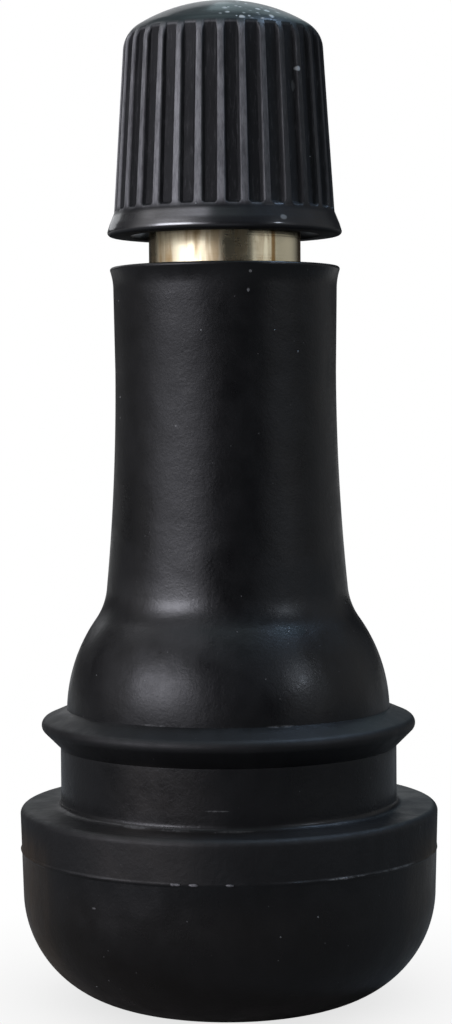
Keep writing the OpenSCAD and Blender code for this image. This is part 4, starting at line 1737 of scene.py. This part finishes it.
    def spring(self, steel: Material) -> None:
        """Winds the spring.

        Args:
            steel: Plated steel of the wire.
        """
        piece = placed("coil_spring", bpy.data.meshes.new("coil_spring"))
        CoilSpring().apply(piece, steel, turns=self.turns, steps=int(self.turns * self.coil_steps),
                           coil=self.coil_r, wire=self.wire, low=self.ledge_z, high=self.flange_z)
        shade(piece, WIRE_SHARP)
        dress(piece, steel, Slot.STEEL, Body.VALVE, "core_spring")
        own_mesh(piece)

    def build(self) -> None:
        """Builds and dresses every piece of the core."""
        brass = MetalFinish(name="core_brass", bright=(0.74, 0.58, 0.32), gloss=0.24, lines=18.0).build()
        steel = MetalFinish(name="plated_steel", bright=(0.62, 0.62, 0.61), tarnish=(0.3, 0.29, 0.27),
                            gloss=0.2, lines=20.0, reach=0.002).build()
        red = SoftFinish(name="gasket_rubber", tone=(0.3, 0.03, 0.022), patch=(0.4, 0.06, 0.045)).build()
        black = SoftFinish(name="washer_rubber").build()
        self.plug(brass)
        self.barrel(brass)
        self.seals(red, black)
        self.plunger(brass, steel)
        self.spring(steel)


@dataclass(frozen=True)
class Lamp:
    """A soft panel that faces the object from an angle round it and above the floor."""

    name: str
    turn: float
    rise: float
    distance: float
    width: float
    tall: float
    level: float
    colour: Colour

    def build(self, aim: Vector) -> None:
        """Sets the panel up.

        Args:
            aim: Point that the panel faces, in metres.
        """
        turn, rise = math.radians(self.turn), math.radians(self.rise)
        way = Vector((math.sin(turn) * math.cos(rise), -math.cos(turn) * math.cos(rise), math.sin(rise)))
        light = bpy.data.lights.new(self.name, "AREA")
        light.shape = "RECTANGLE"
        light.size = self.width
        light.size_y = self.tall
        light.energy = self.level * math.pi * self.width * self.tall
        light.color = self.colour
        lamp = placed(self.name, light)
        lamp.location = aim + way * self.distance
        lamp.rotation_euler = (-way).to_track_quat("-Z", "Y").to_euler()
        lamp.visible_camera = False


@dataclass(frozen=True)
class Studio:
    """Pale floor, white backdrop, a dim room in front and soft panels."""

    lamp_aim: Size = (0.0, 0.0, 0.02)
    floor_half: float = 3.0
    floor_colour: Colour = (0.2, 0.19, 0.18)
    shadow_reach: float = 0.012
    shadow_share: float = 0.25
    shadow_samples: int = 8
    dim: Colour = (0.015, 0.015, 0.016)
    left: Colour = (0.6, 0.59, 0.6)
    right: Colour = (0.34, 0.34, 0.34)
    sky: Colour = (0.3, 0.36, 0.38)
    lamps: tuple[Lamp, ...] = (
        Lamp("window_left", -48.0, 10.0, 0.5, 0.56, 0.34, 1.55, (0.89, 0.89, 1.0)),
        Lamp("window_core", -51.0, 20.0, 0.49, 0.3, 0.13, 9.3, (0.9, 0.9, 1.0)),
        Lamp("window_right", 56.0, 25.0, 0.5, 0.04, 0.035, 60.0, (0.8, 0.88, 1.0)),
        Lamp("window_top", -50.0, 54.0, 0.5, 0.32, 0.1, 2.2, (0.9, 0.9, 1.0)),
        Lamp("side_top", -112.0, 46.0, 0.5, 0.22, 0.14, 2.4, (0.95, 0.95, 1.0)),
        Lamp("doorway", 58.0, 5.0, 0.5, 0.28, 0.3, 0.34, (0.92, 0.94, 1.0)),
        Lamp("skylight", 98.0, 61.0, 0.5, 0.14, 0.05, 50.0, (0.5, 0.7, 1.0)),
        Lamp("ceiling", 0.0, 85.0, 0.5, 0.4, 0.4, 0.6, (0.75, 0.95, 1.0)),
        Lamp("back_sky", 165.0, 42.0, 0.5, 0.24, 0.18, 1.0, (0.7, 0.93, 1.0)),
        Lamp("back_fill", -166.0, 24.0, 0.5, 0.46, 0.26, 0.8, (0.95, 0.97, 1.0)),
    )

    def white_share(self, graph: NodeGraph, behind: Field) -> Field:
        """Share of plain white that each kind of ray sees.

        Args:
            graph: Graph of the floor or of the world.
            behind: Mask of the part behind the object, which is white to reflections as well.

        Returns:
            The share.
        """
        path = graph.node("ShaderNodeLightPath")
        plain = graph.math("MAXIMUM", path.outputs["Is Camera Ray"], path.outputs["Is Transmission Ray"])
        return graph.math("MAXIMUM", plain, behind * Field(graph, path.outputs["Is Glossy Ray"]))

    def floor(self) -> None:
        """Lays the floor, which is white to the eye with the object's shadow painted in by ambient occlusion.
        """
        half = self.floor_half
        spots = [(-half, -half, 0.0), (half, -half, 0.0), (half, half, 0.0), (-half, half, 0.0)]
        floor = piece_from("studio_floor", spots, [(0, 1, 2, 3)], MOULDED_SHARP)
        material = bpy.data.materials.new("pale_floor")
        graph = cleared(material)
        place = Field(graph, graph.node("ShaderNodeTexCoord").outputs["Object"])
        _, depth, _ = graph.split(place)
        white = self.white_share(graph, graph.ramp(depth, 0.02, 0.3, 0.0, 0.3))
        matt = graph.node("ShaderNodeBsdfDiffuse")
        matt.inputs["Color"].default_value = (*self.floor_colour, 1.0)
        reach = {"Distance": self.shadow_reach}
        # The glow dims where ambient occlusion finds the object close by: a painted shadow on the floor.
        open_sky = graph.made("ShaderNodeAmbientOcclusion", reach, output=1, samples=self.shadow_samples)
        glow = graph.made("ShaderNodeEmission", {"Strength": 1.0 - self.shadow_share * (1.0 - open_sky)})
        both = graph.node("ShaderNodeMixShader")
        for socket, value in zip(both.inputs, (white, matt.outputs[0], glow)):
            graph.feed(socket, value)
        graph.feed(graph.node("ShaderNodeOutputMaterial").inputs["Surface"], both.outputs[0])
        floor.data.materials.append(material)

    def surround(self) -> None:
        """Makes the world: white to the eye and behind the object, a dim room elsewhere."""
        world = bpy.data.worlds.new("studio")
        bpy.context.scene.world = world
        graph = cleared(world)
        side, depth, up = graph.split(Field(graph, graph.node("ShaderNodeTexCoord").outputs["Generated"]))
        ahead = graph.ramp(depth, 0.0, 0.4, 1.0, 0.05)
        room = graph.mix(graph.ramp(side, -0.6, -0.3, 1.0, 0.0) * ahead, self.dim, self.left)
        room = graph.mix(graph.ramp(side, 0.5, 0.95), room, self.right)
        room = graph.mix(graph.ramp(up, 0.55, 0.98), room, self.sky)
        white = self.white_share(graph, graph.ramp(depth, 0.9, 1.0, 0.0, 0.08))
        back = graph.made("ShaderNodeBackground", {"Color": graph.mix(white, room, (1.0, 1.0, 1.0))})
        graph.feed(graph.node("ShaderNodeOutputWorld").inputs["Surface"], back)

    def build(self) -> None:
        """Sets up the floor, the world, the lamps and the view settings."""
        self.floor()
        self.surround()
        for lamp in self.lamps:
            lamp.build(Vector(self.lamp_aim))
        bpy.context.scene.view_settings.view_transform = "Standard"


@dataclass(frozen=True)
class PhotoCamera:
    """Camera at the photograph's place."""

    place: Size = (-0.035, -106.0, 27.06)
    aim: Size = (-0.035, 0.0, 22.12)
    lens: float = 82.05
    sensor: float = 36.0
    roll: float = -0.45
    clip: Point = (0.005, 20.0)

    def build(self) -> None:
        """Sets the camera up as the scene's own."""
        data = bpy.data.cameras.new("photo_camera")
        data.lens = self.lens
        data.sensor_width = self.sensor
        data.clip_start, data.clip_end = self.clip
        camera = placed("photo_camera", data)
        place = Vector(self.place) * MM
        turn = (Vector(self.aim) * MM - place).to_track_quat("-Z", "Y")
        camera.location = place
        camera.rotation_euler = (turn @ Quaternion((0, 0, 1), math.radians(self.roll))).to_euler()
        bpy.context.scene.camera = camera


def main() -> None:
    """Builds the camera, the studio and every piece of the valve."""
    logging.basicConfig(level=logging.INFO, format="%(message)s")
    PhotoCamera().build()
    Studio().build()
    RubberBody().build()
    BrassStem().build()
    ValveCap().build()
    ValveCore().build()


if __name__ == "__main__":
    main()
